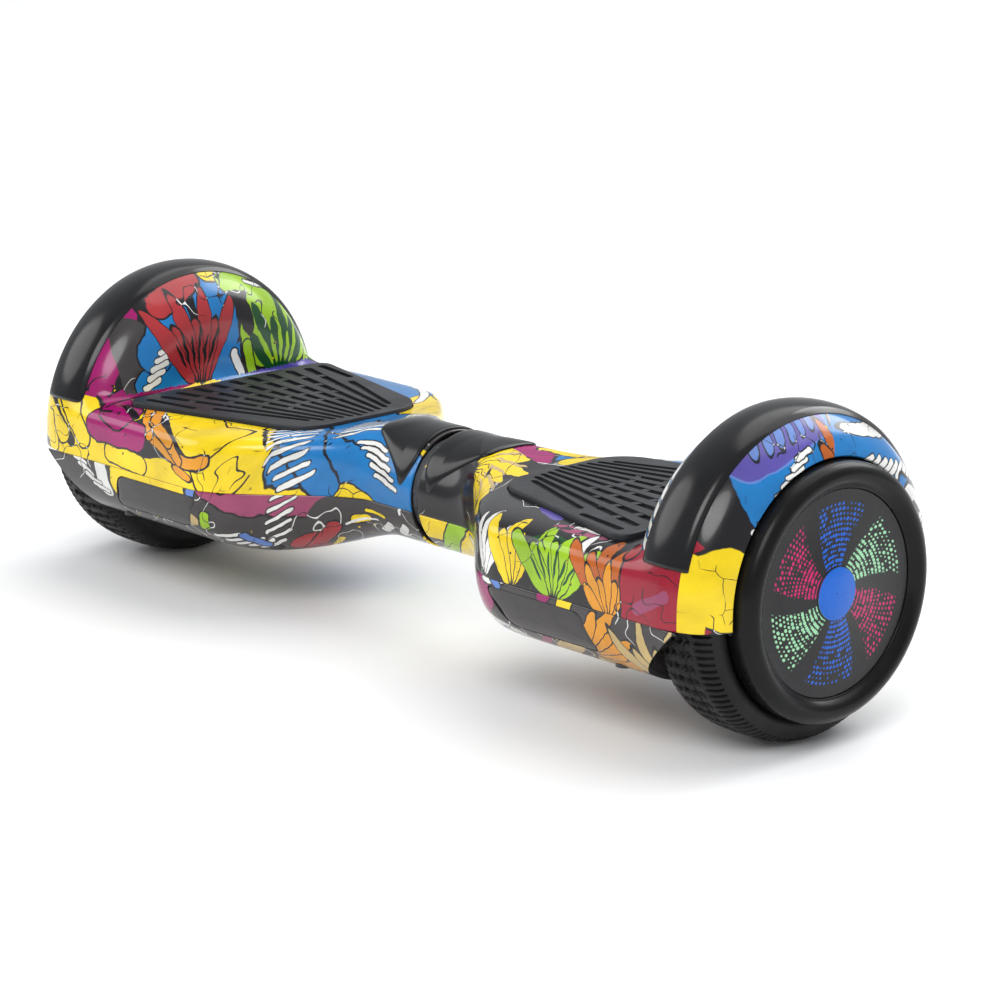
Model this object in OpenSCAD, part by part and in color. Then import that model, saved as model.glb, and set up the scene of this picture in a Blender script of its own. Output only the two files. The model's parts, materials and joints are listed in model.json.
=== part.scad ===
// Self balancing board: two tilting halves on a common pivot, each with a hub-motor wheel.
// X runs along the wheel axles, the front (headlights) faces -Y, and Z is up from the floor.
// Parts named _right lie at +X, and parts named _left are at -X, as seen from the front.

/* [Overall] */
// Distance between the outer faces of the two hub caps
board_length = 584; // [570:1:600]
// Width of the body from front to rear
body_width = 186; // [180:1:192]
// Height of the wheel axis above the floor, which is also the tyre radius
axle_z = 83; // [81:1:85]

/* [Shells] */
// Wall thickness of the moulded shells
skin = 2.4; // [2:0.1:3]
// Radius of the round neck where the halves meet
neck_r = 34; // [33:0.5:36]
// Height of the deck above the wheel axis
deck_rise = 26; // [25:0.5:27]
// Depth of the belly below the wheel axis
belly_drop = 52; // [48:0.5:53]
// Distance from the pivot centre to the end of each shell
shell_gap = 3; // [2:0.5:5]
// Height of the joint line between upper and lower shells
split_z = 75; // [74:0.5:76]

/* [Fenders] */
// Distance of the fender crown from the centre of the board
fender_x = 250; // [248:1:252]
// Radius of the fender crown about the wheel axis
fender_r = 93; // [92:0.5:94]
// Half the width of the fender
fender_half = 34; // [33:0.5:35]
// Radius of the opening in the outer face of the fender
lip_r = 71; // [70.5:0.25:72]

/* [Foot mats] */
// Nose of the mat, from the centre of the board
mat_x0 = 81; // [78:1:84]
// Wide end of the mat, from the centre of the board
mat_x1 = 207; // [200:1:208]
// Half the width of the mat at its wide end
mat_half = 75; // [70:1:77]
// Height that the mat stands above the deck
mat_proud = 2.5; // [1.5:0.5:3]
// Travel of the mat when a foot presses it
mat_travel = 2; // [1:0.5:2]

/* [Pivot] */
// Outer radius of the pivot tube
shaft_r = 13; // [12:0.5:14]
// Running clearance between the tube and its bushes
run_gap = 0.05; // [0.02:0.01:0.08]
// Twist of one half against the other, each way
twist = 12; // [8:1:14]

/* [Wheels] */
// Radius of the axle
axle_r = 8; // [7:0.5:9]
// Radius of the motor drum under the tyre
drum_r = 68; // [67:0.5:68]
// Radius of the round light panel in the hub cap
panel_r = 55; // [50:1:56]

/* [Hidden] */
$fn = 72;

end_x = board_length / 2;
body_half = body_width / 2;
deck_z = axle_z + deck_rise;
inset = 0.1;                       // play left around a piece that is let into a shell
fender_power = 2.2;                // squareness of the fender's crown
fender_base = 57;                  // radius from which the crown curves over
crown_h = fender_r - fender_base;
join_x = fender_x - 14;             // where the body's loft ends inside the fender
well_x = 229;                      // inner end of the wheel well
well_r = 88;
lug_x = 262;                       // outer end of the lower shell, at the joint line
lug_slope = 40.6;                  // lean of that end, which sweeps in towards the belly
stations = [for (x = [0 : 11 : 132]) x + shell_gap];
ring_n = 40;

// Sections of the body: half width, height above and below the axis, and squareness
function ease(a, b, x) = let (t = min(1, max(0, (x - a) / (b - a)))) t * t * (3 - 2 * t);
function half_w(x) = neck_r + (body_half - neck_r) * ease(35, 130, x);
function rise(x) = neck_r + (deck_rise - neck_r) * ease(30, 80, x);
function drop(x) = neck_r + (belly_drop - neck_r) * ease(35, 115, x);
function top_power(x) = 2 + 5 * ease(25, 100, x);
function low_power(x) = 2 + ease(35, 115, x);
function reach(c, s, w, h, n) = pow(pow(abs(c) / w, n) + pow(abs(s) / h, n), -1 / n);
function body_r(a, x, off) = sin(a) >= 0
  ? reach(cos(a), sin(a), half_w(x) + off, rise(x) + off, top_power(x))
  : reach(cos(a), sin(a), half_w(x) + off, drop(x) + off, low_power(x));
function side_y(x, z) =
  (half_w(x)) * pow(1 - pow(abs(z - axle_z) / drop(x), low_power(x)), 1 / low_power(x));

// Radius of the fender at a distance x from the centre of the board
function crown_r(x) = fender_base
  + crown_h * pow(1 - pow(min(1, abs(x - fender_x) / fender_half), fender_power), 1 / fender_power);

// ---- helpers ----
module meshed() { resize([0, 0, 0]) children(); }
module left() { mirror([1, 0, 0]) children(); }
module rod(x0, x1, r, y = 0, z = axle_z) { translate([x0, y, z]) rotate([0, 90, 0]) cylinder(x1 - x0, r, r); }
module pipe(x0, x1, r, bore) {
  difference() {
    rod(x0, x1, r);
    rod(x0 - 1, x1 + 1, bore);
  }
}
module block(x0, x1, y0, y1, z0, z1) { translate([x0, y0, z0]) cube([x1 - x0, y1 - y0, z1 - z0]); }
module about_axle() { translate([0, 0, axle_z]) rotate([90, 0, 90]) rotate_extrude() children(); }

// The body's outer form moved out or in by off, from xs[0] to its last station
module body_form(off, xs) {
  rings = len(xs);
  points = [for (x = xs) for (i = [0 : ring_n - 1])
    let (a = 360 * i / ring_n, r = body_r(a, x, off)) [x, r * cos(a), axle_z + r * sin(a)]];
  sides = [for (j = [0 : rings - 2]) for (i = [0 : ring_n - 1])
    let (k = (i + 1) % ring_n)
    [j * ring_n + i, (j + 1) * ring_n + i, (j + 1) * ring_n + k, j * ring_n + k]];
  start = [for (i = [0 : ring_n - 1]) i];
  finish = [for (i = [ring_n - 1 : -1 : 0]) (rings - 1) * ring_n + i];
  polyhedron(points, concat([start], sides, [finish]), convexity = 4);
}

// Outline of the fender in radius and distance, moved in by off: a goes over the crown in degrees
function crown_point(a, off) = let (p = 2 / fender_power)
  [fender_base + (crown_h - off) * pow(sin(a), p),
   fender_x - (fender_half - off) * sign(cos(a)) * pow(abs(cos(a)), p)];
module fender_outline(off) {
  lip_a = 180 - asin(pow((lip_r - fender_base) / crown_h, fender_power / 2));
  crown = [for (i = [0 : 15]) crown_point(lip_a * i / 15, off)];
  lip = crown[15];
  end = off > 0 ? lip[1] + 20 : lip[1];
  polygon(concat([[0, crown[0][1]]], crown, [[lip[0], end], [0, end]]));
}
module fender_form(off) {
  translate([0, 0, axle_z]) rotate([90, 0, 90]) rotate_extrude(angle = 180, $fn = 52) fender_outline(off);
  translate([0, 0, split_z - off]) linear_extrude(axle_z - split_z + off)
    for (s = [0, 1]) mirror([0, s]) rotate(90) mirror([0, 1]) fender_outline(off);
}

module mat_outline(grow = 0) {
  offset(delta = grow) hull() for (s = [-1, 1]) {
    translate([mat_x0 + 26, s * 26]) circle(26, $fn = 32);
    translate([mat_x1 - 8, s * (mat_half - 8)]) circle(8, $fn = 32);
  }
}
module cover_outline(grow = 0) {
  offset(delta = grow) hull() for (s = [-1, 1]) {
    translate([12, s * 26.5]) circle(7, $fn = 32);
    translate([36, s * 14]) circle(9, $fn = 32);
  }
}
module lens_outline(grow = 0) {
  offset(delta = grow) offset(r = 4, $fn = 24) polygon([[127, 67], [190, 67], [197, 54], [140, 54]]);
}
module lens_prism(grow = 0) { translate([0, -60, 0]) rotate([90, 0, 0]) linear_extrude(50) lens_outline(grow); }

// Rear fittings stand square to the sloping rear wall
fitting_z = 58;
fitting_tilt = 24;
port_x = 133;
button_x = 153;
flange_r = 8.8;                    // visible ring of the port and of the button
barrel_r = 7.6;
module at_rear(x) {
  translate([x, side_y(x, fitting_z), fitting_z]) rotate([-90 - fitting_tilt, 0, 0]) children();
}
module disc(z0, z1, r) { translate([0, 0, z0]) cylinder(z1 - z0, r, r); }

// Screw posts, as places in plan
posts = [[100, 50], [100, -50], [207, 72], [207, -72]];
plate_z0 = 88;
plate_z1 = 93;
plungers = [[128, 30], [128, -30], [180, 44], [180, -44]];
plunger_r = 5;
pocket_z = deck_z - 3;
mat_z0 = pocket_z + mat_travel + inset;

// ---- shells ----
module upper_shell() {
  color("gold") meshed() difference() {
    union() {
      difference() {
        intersection() {
          union() {
            body_form(0, concat(stations, [join_x]));
            fender_form(0);
          }
          block(0, 300, -150, 150, split_z, 200);
        }
        body_form(-skin, concat([0], stations, [join_x]));
        fender_form(skin);
      }
      intersection() {
        translate([0, 0, pocket_z - skin]) linear_extrude(6) mat_outline(skin + 0.6);
        body_form(-0.2, concat(stations, [join_x]));
      }
      for (p = posts) translate([p[0], p[1], plate_z1]) cylinder(deck_z - 1 - plate_z1, 4.5, 4.5, $fn = 24);
    }
    translate([0, 0, pocket_z]) linear_extrude(20) mat_outline(0.6);
    for (p = posts) translate([p[0], p[1], plate_z1 - 1]) cylinder(9, 1.8, 1.8, $fn = 16);
    for (p = plungers) translate([p[0], p[1], pocket_z - 5]) cylinder(8, 5.8, 5.8, $fn = 24);
  }
}
module lower_shell(fittings) {
  whole = concat(stations, [lug_x]);
  color("gold") meshed() difference() {
    union() {
      difference() {
        body_form(0, whole);
        body_form(-skin, concat([0], stations, [well_x - 3]));
        block(0, 300, -150, 150, split_z, 200);
      }
      intersection() {
        for (p = posts) translate([p[0], p[1], 30]) cylinder(plate_z0 - 30, 5, 5, $fn = 24);
        body_form(-0.2, whole);
      }
      if (fittings) for (x = [port_x, button_x]) at_rear(x) disc(-6, -1.5, flange_r + 1.1, $fn = 28);
    }
    rod(well_x, 300, well_r);
    rod(well_x - 9, 300, 11, $fn = 32);
    translate([well_x + 3, -150, 40]) rotate([0, lug_slope, 0]) translate([0, 0, -80]) cube([80, 300, 160]);
    for (p = posts) translate([p[0], p[1], 20]) {
      cylinder(80, 1.8, 1.8, $fn = 16);
      cylinder(24, 3.6, 3.6, $fn = 24);
    }
    lens_prism(0.3);
    if (fittings) for (x = [port_x, button_x]) at_rear(x) {
      disc(-1.2, 9, flange_r + 0.35, $fn = 28);
      disc(-20, 2, barrel_r + 0.2, $fn = 28);
    }
  }
}
module fender_bumper() {
  strip = 16;
  top = [for (x = [-strip : 4 : strip])
    [crown_r(fender_x + x) + 2 - (abs(x) == strip ? 1.2 : 0), fender_x + x]];
  under = [for (x = [strip : -4 : -strip]) [crown_r(fender_x + x) + inset, fender_x + x]];
  color("black") translate([0, 0, axle_z]) rotate([90, 0, 90])
    rotate(14.6) rotate_extrude(angle = 180 - 2 * 14.6) polygon(concat(top, under));
}
module centre_cover() {
  color("black") meshed() intersection() {
    difference() {
      body_form(1.6, stations);
      body_form(0.1, concat([0], stations, [200]));
    }
    translate([0, 0, axle_z]) linear_extrude(60) cover_outline();
  }
}
module foot_mat() {
  color("dimgray") translate([0, 0, mat_z0]) linear_extrude(deck_z + mat_proud - mat_z0) mat_outline();
}
module mat_plungers() {
  color("whitesmoke") for (p = plungers) translate([p[0], p[1], 99])
    cylinder(mat_z0 - 99, plunger_r, plunger_r);
}
module headlight_lens() {
  color("dimgray") meshed() intersection() {
    difference() {
      body_form(-0.1, concat(stations, [210]));
      body_form(-skin, concat([0], stations, [212]));
    }
    lens_prism();
  }
}
module headlight_board() {
  color("green") {
    block(130, 192, -74, -72.4, 53, 71);
    for (i = [0 : 5]) block(136 + 9 * i, 140 + 9 * i, -76, -74, 60, 64);
  }
}

// ---- structure ----
axle_seat = [196, 222];
seat_half = 24;
clamp_bolts = [[202, 17], [202, -17], [216, 17], [216, -17]];
hub_r = 20;
disc_x = 6;
pin_ring = 24.5;
pin_r = 3;
module frame_plate() {
  edge = [for (x = [60 : 10 : 210]) [x, half_w(x) - 9]];
  back = [for (x = [210 : -10 : 60]) [x, 9 - half_w(x)]];
  translate([0, 0, plate_z0]) linear_extrude(plate_z1 - plate_z0) difference() {
    polygon(concat(edge, back));
    for (p = posts) translate(p) circle(1.8);
  }
  for (y = [-52, 48]) block(106, 190, y, y + 4, 84, plate_z0);
}
module frame_body(x0, bore) {
  difference() {
    union() {
      frame_plate();
      rod(x0, 76, hub_r);
      rod(disc_x, disc_x + 5, 29);
      block(axle_seat[0], axle_seat[1], -seat_half, seat_half, axle_z, 97);
    }
    rod(x0 - 2, 78, bore);
    rod(76, 96, shaft_r + 4);
    rod(axle_seat[0] - 1, axle_seat[1] + 1, axle_r);
    for (p = clamp_bolts) translate([p[0], p[1], axle_z - 1]) cylinder(10, 2.5, 2.5);
  }
}
module frame_right() {
  color("silver") difference() {
    frame_body(-7.9, shaft_r);
    rod(disc_x - 1, disc_x + 6, pin_r, 0, axle_z - pin_ring);
  }
}
module frame_left() {
  // The stop pin runs in a curved slot that is a little longer than the twist
  slot = twist + 8.5;
  color("silver") left() difference() {
    frame_body(10, shaft_r + 3);
    translate([disc_x - 1, 0, axle_z]) rotate([90, 0, 90]) linear_extrude(7)
      polygon(concat([for (a = [-slot : slot / 4 : slot]) (pin_ring - 3.5) * [sin(a), -cos(a)]],
        [for (a = [slot : -slot / 4 : -slot]) (pin_ring + 3.5) * [sin(a), -cos(a)]]));
    rod(0, 10, hub_r + 1);
  }
}
module axle_clamp() {
  color("silver") difference() {
    block(axle_seat[0], axle_seat[1], -seat_half, seat_half, 70, axle_z);
    rod(axle_seat[0] - 1, axle_seat[1] + 1, axle_r);
    for (p = clamp_bolts) translate([p[0], p[1], 60]) cylinder(30, 2.5, 2.5);
  }
}
module clamp_screws() {
  color("dimgray") for (p = clamp_bolts) translate([p[0], p[1], 66]) {
    difference() {
      cylinder(4, 4.4, 4.4);
      translate([0, 0, -1]) cylinder(3, 2.4, 2.4, $fn = 6);
    }
    translate([0, 0, 4]) cylinder(axle_z + 9 - 70, 2.5, 2.5);
  }
}
module shell_screws() {
  color("dimgray") for (p = posts) translate([p[0], p[1], 44]) {
    mirror([0, 0, 1]) cylinder(2.4, 3.2, 3.2);
    cylinder(56, 1.6, 1.6);
  }
}

// ---- pivot ----
module pivot_tube() {
  color("gainsboro") difference() {
    union() {
      rod(-80, -77.4, shaft_r);
      rod(-77.4, -76.2, shaft_r - 1);
      rod(-76.2, 76, shaft_r);
    }
    rod(-81, 77, shaft_r - 3);
  }
}
module pivot_bushes() {
  color("goldenrod") left() {
    pipe(8, 10, hub_r - 1, shaft_r + run_gap);
    pipe(10, 24, shaft_r + 3, shaft_r + run_gap);
    pipe(64, 76, shaft_r + 3, shaft_r + run_gap);
  }
}
module tube_circlip() { color("dimgray") left() pipe(76.2, 77.4, shaft_r + 3.5, shaft_r - 1); }
module twist_stop_pin() { color("gray") rod(-disc_x - 5, disc_x + 5, pin_r, 0, axle_z - pin_ring); }
module pivot_harness() {
  color("black") {
    rod(-88, 88, 6);
    for (s = [-1, 1]) translate([s * 95, 0, axle_z]) cube([14, 10, 8], center = true);
  }
}

// ---- wheel ----
module tyre() {
  half = [[drum_r, 233], [drum_r, 271], [69.6, 271], [69.6, 275.5], [73, 277], [77, 275.5], [80.5, 272],
    [axle_z - 0.5, 266], [axle_z, 258], [axle_z, 250], [axle_z - 0.5, 242], [80.5, 236], [77, 232.8],
    [73, 231.6]];
  color("black") about_axle() polygon(half);
}
bearing_r = 16;
bearings = [[238, 247], [258.5, 267.5]];
magnet_r = 63;
module motor_rim() {
  color("silver") difference() {
    rod(236, 267, drum_r);
    rod(240, 268, magnet_r);
    rod(235, 238, 12);
    rod(237, 250, bearing_r);
  }
  color("silver") pipe(240, 247, hub_r, bearing_r);
}
module motor_magnets() {
  color("dimgray") difference() {
    pipe(244, 264, magnet_r, magnet_r - 3);
    for (a = [0 : 12 : 359]) translate([254, 0, axle_z]) rotate([a, 0, 0])
      translate([0, 0, magnet_r - 2]) cube([22, 1, 8], center = true);
  }
}
module motor_stator() {
  teeth = 27;
  color("chocolate") translate([246, 0, axle_z]) rotate([90, 0, 90]) linear_extrude(16) difference() {
    circle(magnet_r - 3.8);
    circle(30);
    for (i = [1 : teeth]) rotate(360 * i / teeth) {
      translate([46, -2.5]) square([11, 5]);
      translate([56, -0.8]) square([8, 1.6]);
    }
  }
  color("gray") pipe(249, 256, 30, axle_r);
}
module motor_axle() {
  color("gainsboro") {
    rod(axle_seat[0], 222.2, axle_r);
    rod(222.2, 238, 9.5);
    rod(238, 267.5, axle_r);
  }
}
module hub_bearings() {
  color("gainsboro") for (b = bearings) {
    pipe(b[0], b[1], bearing_r, 13.5);
    pipe(b[0], b[1], 10.5, axle_r + 0.02);
    for (a = [0 : 45 : 359]) translate([(b[0] + b[1]) / 2, 0, axle_z]) rotate([a, 0, 0])
      translate([0, 0, 12]) sphere(1.4, $fn = 24);
  }
}
module motor_cover() {
  color("silver") {
    difference() {
      rod(267, cap_x, drum_r);
      rod(266, 268, bearing_r);
    }
    pipe(258.5, 267, hub_r, bearing_r);
  }
}
cap_x = 271;                       // inner face of the hub cap, against the motor cover
seat_x = 284;                      // step in the cap that the light panel sits on
panel_x = 287;
disc_r = 14;                   // raised disc in the middle of the light panel
module hub_cap() {
  color("black") about_axle() polygon([[0, cap_x], [69, cap_x], [69, 286], [67, 290], [63, end_x],
    [59, end_x - 1], [56.4, 289], [panel_r + inset, panel_x + 0.5], [panel_r + inset, seat_x],
    [panel_r - 5, seat_x], [panel_r - 5, cap_x + 4], [0, cap_x + 4]]);
}
module led_panel() {
  color("darkslategray") about_axle() polygon([[0, seat_x + inset], [panel_r, seat_x + inset],
    [panel_r, panel_x], [disc_r, panel_x], [disc_r, panel_x + 1], [0, panel_x + 1]]);
}

// ---- electrics ----
module power_button() {
  color("silver") at_rear(button_x) {
    disc(-9, -7, barrel_r - 0.7);
    disc(-7, 1.8, 5.5);
  }
}
module button_bezel() {
  color("gainsboro") at_rear(button_x) difference() {
    union() {
      disc(-6.4, -1.2, barrel_r);
      disc(-1.2, 1, flange_r);
    }
    disc(-10, 5, 5.7);
  }
}
port_bore = 6.4;                   // takes the plug's collar
insert_r = 6;                      // insulator that carries the three contacts
module charge_port() {
  color("silver") at_rear(port_x) difference() {
    union() {
      disc(-20, -1.2, barrel_r);
      disc(-1.2, 1.2, flange_r);
    }
    disc(-7, 5, port_bore);
    disc(-21, -6, insert_r);
  }
}
module charge_pins() {
  color("black") at_rear(port_x) {
    disc(-14, -10, insert_r);
    for (a = [90, 210, 330]) rotate(a) translate([3.2, 0, -11]) cylinder(3.8, 0.9, 0.9);
  }
}
module port_nut() {
  color("silver") at_rear(port_x) difference() {
    translate([0, 0, -9]) cylinder(3, 10.4, 10.4, $fn = 6);
    disc(-10, -5, barrel_r);
  }
}
board_t = 1.6;                     // thickness of the circuit boards
gyro_z = plate_z1 + 1.5;           // the gyro board stands on short spacers
control_z = 66;
control_top = control_z + board_t;
module gyro_area(x0, x1, y0, y1) { block(x0, x1, min(y0, y1), max(y0, y1), gyro_z, gyro_z + board_t); }
module gyro_board() {
  color("green") {
    gyro_area(106, 174, -20, 20);
    for (x = [110, 170]) for (y = [-16, 16]) translate([x, y, plate_z1]) cylinder(1.5, 2.5, 2.5);
    for (p = plungers) gyro_area(p[0] - 5, p[0] + 5, p[1] - 4, p[1] + 4);
    for (s = [-1, 1]) {
      gyro_area(122, 130, s * 20, s * 30);
      gyro_area(174, 180, s * 14, s * 44);
    }
    block(135, 145, -5, 5, gyro_z + board_t, 98);
  }
}
module control_board() {
  color("green") block(112, 184, -45, 45, control_z, control_top);
  color("gray") block(118, 178, -40, -34, control_top, plate_z0);
  color("gray") block(118, 178, 34, 40, control_top, plate_z0);
  color("navy") for (x = [126, 146, 166]) translate([x, 0, control_z - 20]) cylinder(20, 8, 8);
  color("white") for (y = [-30, -16, 14, 28]) block(174, 182, y, y + 9, control_top, 76);
}
battery = [[116, 188], [-64, 64], [47, 83]];
module battery_pack() {
  color("royalblue") left() block(battery[0][0], battery[0][1], battery[1][0], battery[1][1],
    battery[2][0], battery[2][1]);
}
module battery_bracket() {
  color("gray") left() difference() {
    block(140, 164, -66.6, 66.6, 44.4, plate_z0);
    block(139, 165, -64.1, 64.1, 46.9, plate_z0 + 1);
  }
}

upper_shell();  // upper_shell_right
lower_shell(true);  // lower_shell_right
fender_bumper();  // fender_bumper_right
centre_cover();  // centre_cover_right
foot_mat();  // foot_mat_right
mat_plungers();  // mat_plungers_right
headlight_lens();  // headlight_lens_right
headlight_board();  // headlight_board_right
frame_right();
axle_clamp();  // axle_clamp_right
clamp_screws();  // clamp_screws_right
gyro_board();  // gyro_board_right
shell_screws();  // shell_screws_right
tyre();  // tyre_right
motor_rim();  // motor_rim_right
motor_magnets();  // motor_magnets_right
motor_stator();  // motor_stator_right
motor_axle();  // motor_axle_right
hub_bearings();  // hub_bearings_right
motor_cover();  // motor_cover_right
hub_cap();  // hub_cap_right
led_panel();  // led_panel_right
left() upper_shell();  // upper_shell_left
left() lower_shell(false);  // lower_shell_left
left() fender_bumper();  // fender_bumper_left
left() centre_cover();  // centre_cover_left
left() foot_mat();  // foot_mat_left
left() mat_plungers();  // mat_plungers_left
left() headlight_lens();  // headlight_lens_left
left() headlight_board();  // headlight_board_left
frame_left();
left() axle_clamp();  // axle_clamp_left
left() clamp_screws();  // clamp_screws_left
left() gyro_board();  // gyro_board_left
left() shell_screws();  // shell_screws_left
left() tyre();  // tyre_left
left() motor_rim();  // motor_rim_left
left() motor_magnets();  // motor_magnets_left
left() motor_stator();  // motor_stator_left
left() motor_axle();  // motor_axle_left
left() hub_bearings();  // hub_bearings_left
left() motor_cover();  // motor_cover_left
left() hub_cap();  // hub_cap_left
left() led_panel();  // led_panel_left
pivot_tube();
pivot_bushes();
tube_circlip();
twist_stop_pin();
pivot_harness();
power_button();
button_bezel();
charge_port();
charge_pins();
port_nut();
control_board();
battery_pack();
battery_bracket();
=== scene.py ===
"""Looks of the self balancing board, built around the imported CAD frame.

Lengths are in millimetres in the CAD's own frame, and put() turns them into metres.
"""

import json
import math

import bmesh
import bpy
from mathutils import Matrix, Vector


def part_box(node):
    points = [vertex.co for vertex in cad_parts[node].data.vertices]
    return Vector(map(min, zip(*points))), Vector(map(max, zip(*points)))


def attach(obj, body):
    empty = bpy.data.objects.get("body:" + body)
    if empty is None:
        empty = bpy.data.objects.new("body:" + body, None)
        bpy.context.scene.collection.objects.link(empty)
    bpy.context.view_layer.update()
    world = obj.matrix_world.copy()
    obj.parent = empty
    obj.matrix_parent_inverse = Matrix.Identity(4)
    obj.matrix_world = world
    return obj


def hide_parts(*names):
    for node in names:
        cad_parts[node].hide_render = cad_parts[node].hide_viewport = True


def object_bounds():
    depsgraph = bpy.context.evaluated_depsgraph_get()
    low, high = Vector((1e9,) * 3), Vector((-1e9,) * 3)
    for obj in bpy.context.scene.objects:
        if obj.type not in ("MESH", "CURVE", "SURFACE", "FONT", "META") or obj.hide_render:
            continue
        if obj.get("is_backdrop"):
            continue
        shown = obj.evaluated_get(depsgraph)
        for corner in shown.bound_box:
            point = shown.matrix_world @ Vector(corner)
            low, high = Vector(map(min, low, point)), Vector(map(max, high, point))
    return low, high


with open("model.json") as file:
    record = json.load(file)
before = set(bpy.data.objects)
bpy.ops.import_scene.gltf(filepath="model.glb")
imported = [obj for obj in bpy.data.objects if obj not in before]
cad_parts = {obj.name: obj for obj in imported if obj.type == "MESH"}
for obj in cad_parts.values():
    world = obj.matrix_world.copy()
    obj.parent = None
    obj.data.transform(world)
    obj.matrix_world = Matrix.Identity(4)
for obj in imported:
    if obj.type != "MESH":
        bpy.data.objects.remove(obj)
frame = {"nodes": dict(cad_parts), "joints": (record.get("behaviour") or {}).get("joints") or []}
CAD_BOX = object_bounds()
MM = 0.001


# ---- sizes, from the frame where it has them ----
def node_box(name):
    return [[value / MM for value in corner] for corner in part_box(name)]


PIVOT = next(j for j in frame["joints"] if j["name"] == "centre_pivot")
AXLE_Z = PIVOT["pos_m"][2] / MM
SHELL = node_box("upper_shell_right")
HALF_WIDTH = SHELL[1][1]
FENDER_R = SHELL[1][2] - AXLE_Z + 0.1
SPLIT_Z = SHELL[0][2]
GAP_X = SHELL[0][0]
BUMPER = node_box("fender_bumper_right")
FENDER_X = (BUMPER[0][0] + BUMPER[1][0]) / 2
MAT = node_box("foot_mat_right")
TYRE = node_box("tyre_right")
CAP = node_box("hub_cap_right")
# Thickness of the shells, and the body's section: neck radius, and deck and belly height from the axle
SKIN = 2.4
NECK_R = 34
DECK_RISE = 26
BELLY_DROP = 52
DECK_Z = AXLE_Z + DECK_RISE
# Crown of the fender: half its width, radius at its sides, power of its curve, and radius of its outer lip
FENDER_HALF = 34
FENDER_BASE = 57
FENDER_POWER = 2.2
LIP_R = 71
# Wall beside the wheel, and the end of the lugs that pass the wheel's front and rear
WELL_X = 229
LUG_X = 262
LUG_BASE_Z = 43
# Charging port and power button in the sloping rear wall, and the shell's screw posts
FITTING_Z = 58
FITTING_TILT = math.radians(24)
PORT_X = 133
BUTTON_X = 153
FITTING_HOLE_R = 9.15
SCREW_POSTS = ((100, 50), (100, -50), (207, 72), (207, -72))
SIDES = (("right", 1), ("left", -1))


def ease(a, b, x):
    t = min(1.0, max(0.0, (x - a) / (b - a)))
    return t * t * (3 - 2 * t)


def half_w(x):
    """Half the body's width at x."""
    return NECK_R + (HALF_WIDTH - NECK_R) * ease(35, 130, x)


def section(x, upper):
    """Height from the axis and squareness of the body's section at x."""
    if upper:
        return NECK_R + (DECK_RISE - NECK_R) * ease(30, 80, x), 2 + 5 * ease(25, 100, x)
    return NECK_R + (BELLY_DROP - NECK_R) * ease(35, 115, x), 2 + ease(35, 115, x)


def body_r(angle, x, off=0.0):
    """Radius of the body's section at x, where off grows it."""
    height, power = section(x, math.sin(angle) >= 0)
    c = abs(math.cos(angle)) / (half_w(x) + off)
    s = abs(math.sin(angle)) / (height + off)
    return (c**power + s**power) ** (-1 / power)


def side_y(x, z):
    """How far the body's side is from the middle at a height."""
    height, power = section(x, z >= AXLE_Z)
    return half_w(x) * (1 - min(1.0, abs(z - AXLE_Z) / height) ** power) ** (1 / power)


def crown_point(angle):
    """Point of the fender's crown: distance from the centre of the board, and radius about the axle."""
    p = 2 / FENDER_POWER
    c = math.cos(angle)
    x = FENDER_X - FENDER_HALF * math.copysign(abs(c) ** p, c)
    return x, FENDER_BASE + (FENDER_R - FENDER_BASE) * math.sin(angle) ** p


def crown_r(x):
    t = min(1.0, abs(x - FENDER_X) / FENDER_HALF)
    return FENDER_BASE + (FENDER_R - FENDER_BASE) * (1 - t**FENDER_POWER) ** (1 / FENDER_POWER)


def soft_max(a, b, k):
    """The greater of two values, with a fillet of size k where they meet."""
    h = max(k - abs(a - b), 0.0) / k
    return max(a, b) + h * h * k / 4


# ---- mesh helpers ----
def put(name, points, faces, material, smooth_angle=35, outer_faces=0):
    """Makes a mesh object from points. Its first outer_faces faces take the second material slot."""
    mesh = bpy.data.meshes.new(name)
    mesh.from_pydata([(p[0] * MM, p[1] * MM, p[2] * MM) for p in points], [], faces)
    for face in mesh.polygons[:outer_faces]:
        face.material_index = 1
    mesh.validate()
    piece = bpy.data.objects.new(name, mesh)
    bpy.context.scene.collection.objects.link(piece)
    mesh.materials.append(material)
    if outer_faces:
        mesh.materials.append(material)
    tidy(piece, smooth_angle)
    return piece


def tidy(piece, smooth_angle):
    """Merges doubled points, turns the normals outward and shades the piece."""
    work = bmesh.new()
    work.from_mesh(piece.data)
    bmesh.ops.remove_doubles(work, verts=work.verts, dist=0.02 * MM)
    bmesh.ops.dissolve_degenerate(work, edges=work.edges, dist=0.004 * MM)
    bmesh.ops.recalc_face_normals(work, faces=work.faces)
    work.to_mesh(piece.data)
    work.free()
    piece.data.shade_smooth()
    piece.data.set_sharp_from_angle(angle=math.radians(smooth_angle))


def grid_faces(rows, columns, wrap_rows=False, wrap_columns=False):
    faces = []
    for i in range(rows if wrap_rows else rows - 1):
        for j in range(columns if wrap_columns else columns - 1):
            here, below = i * columns, (i + 1) % rows * columns
            after = (j + 1) % columns
            faces.append((here + j, here + after, below + after, below + j))
    return faces


def lathe(name, profile, material, segments, side, smooth_angle):
    """Turns a closed outline of (x, radius) about the wheel axis."""
    points = []
    for k in range(segments):
        a = 2 * math.pi * k / segments
        points += [(side * x, r * math.cos(a), AXLE_Z + r * math.sin(a)) for x, r in profile]
    faces = grid_faces(segments, len(profile), True, True)
    return put(name, points, faces, material, smooth_angle)


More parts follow.
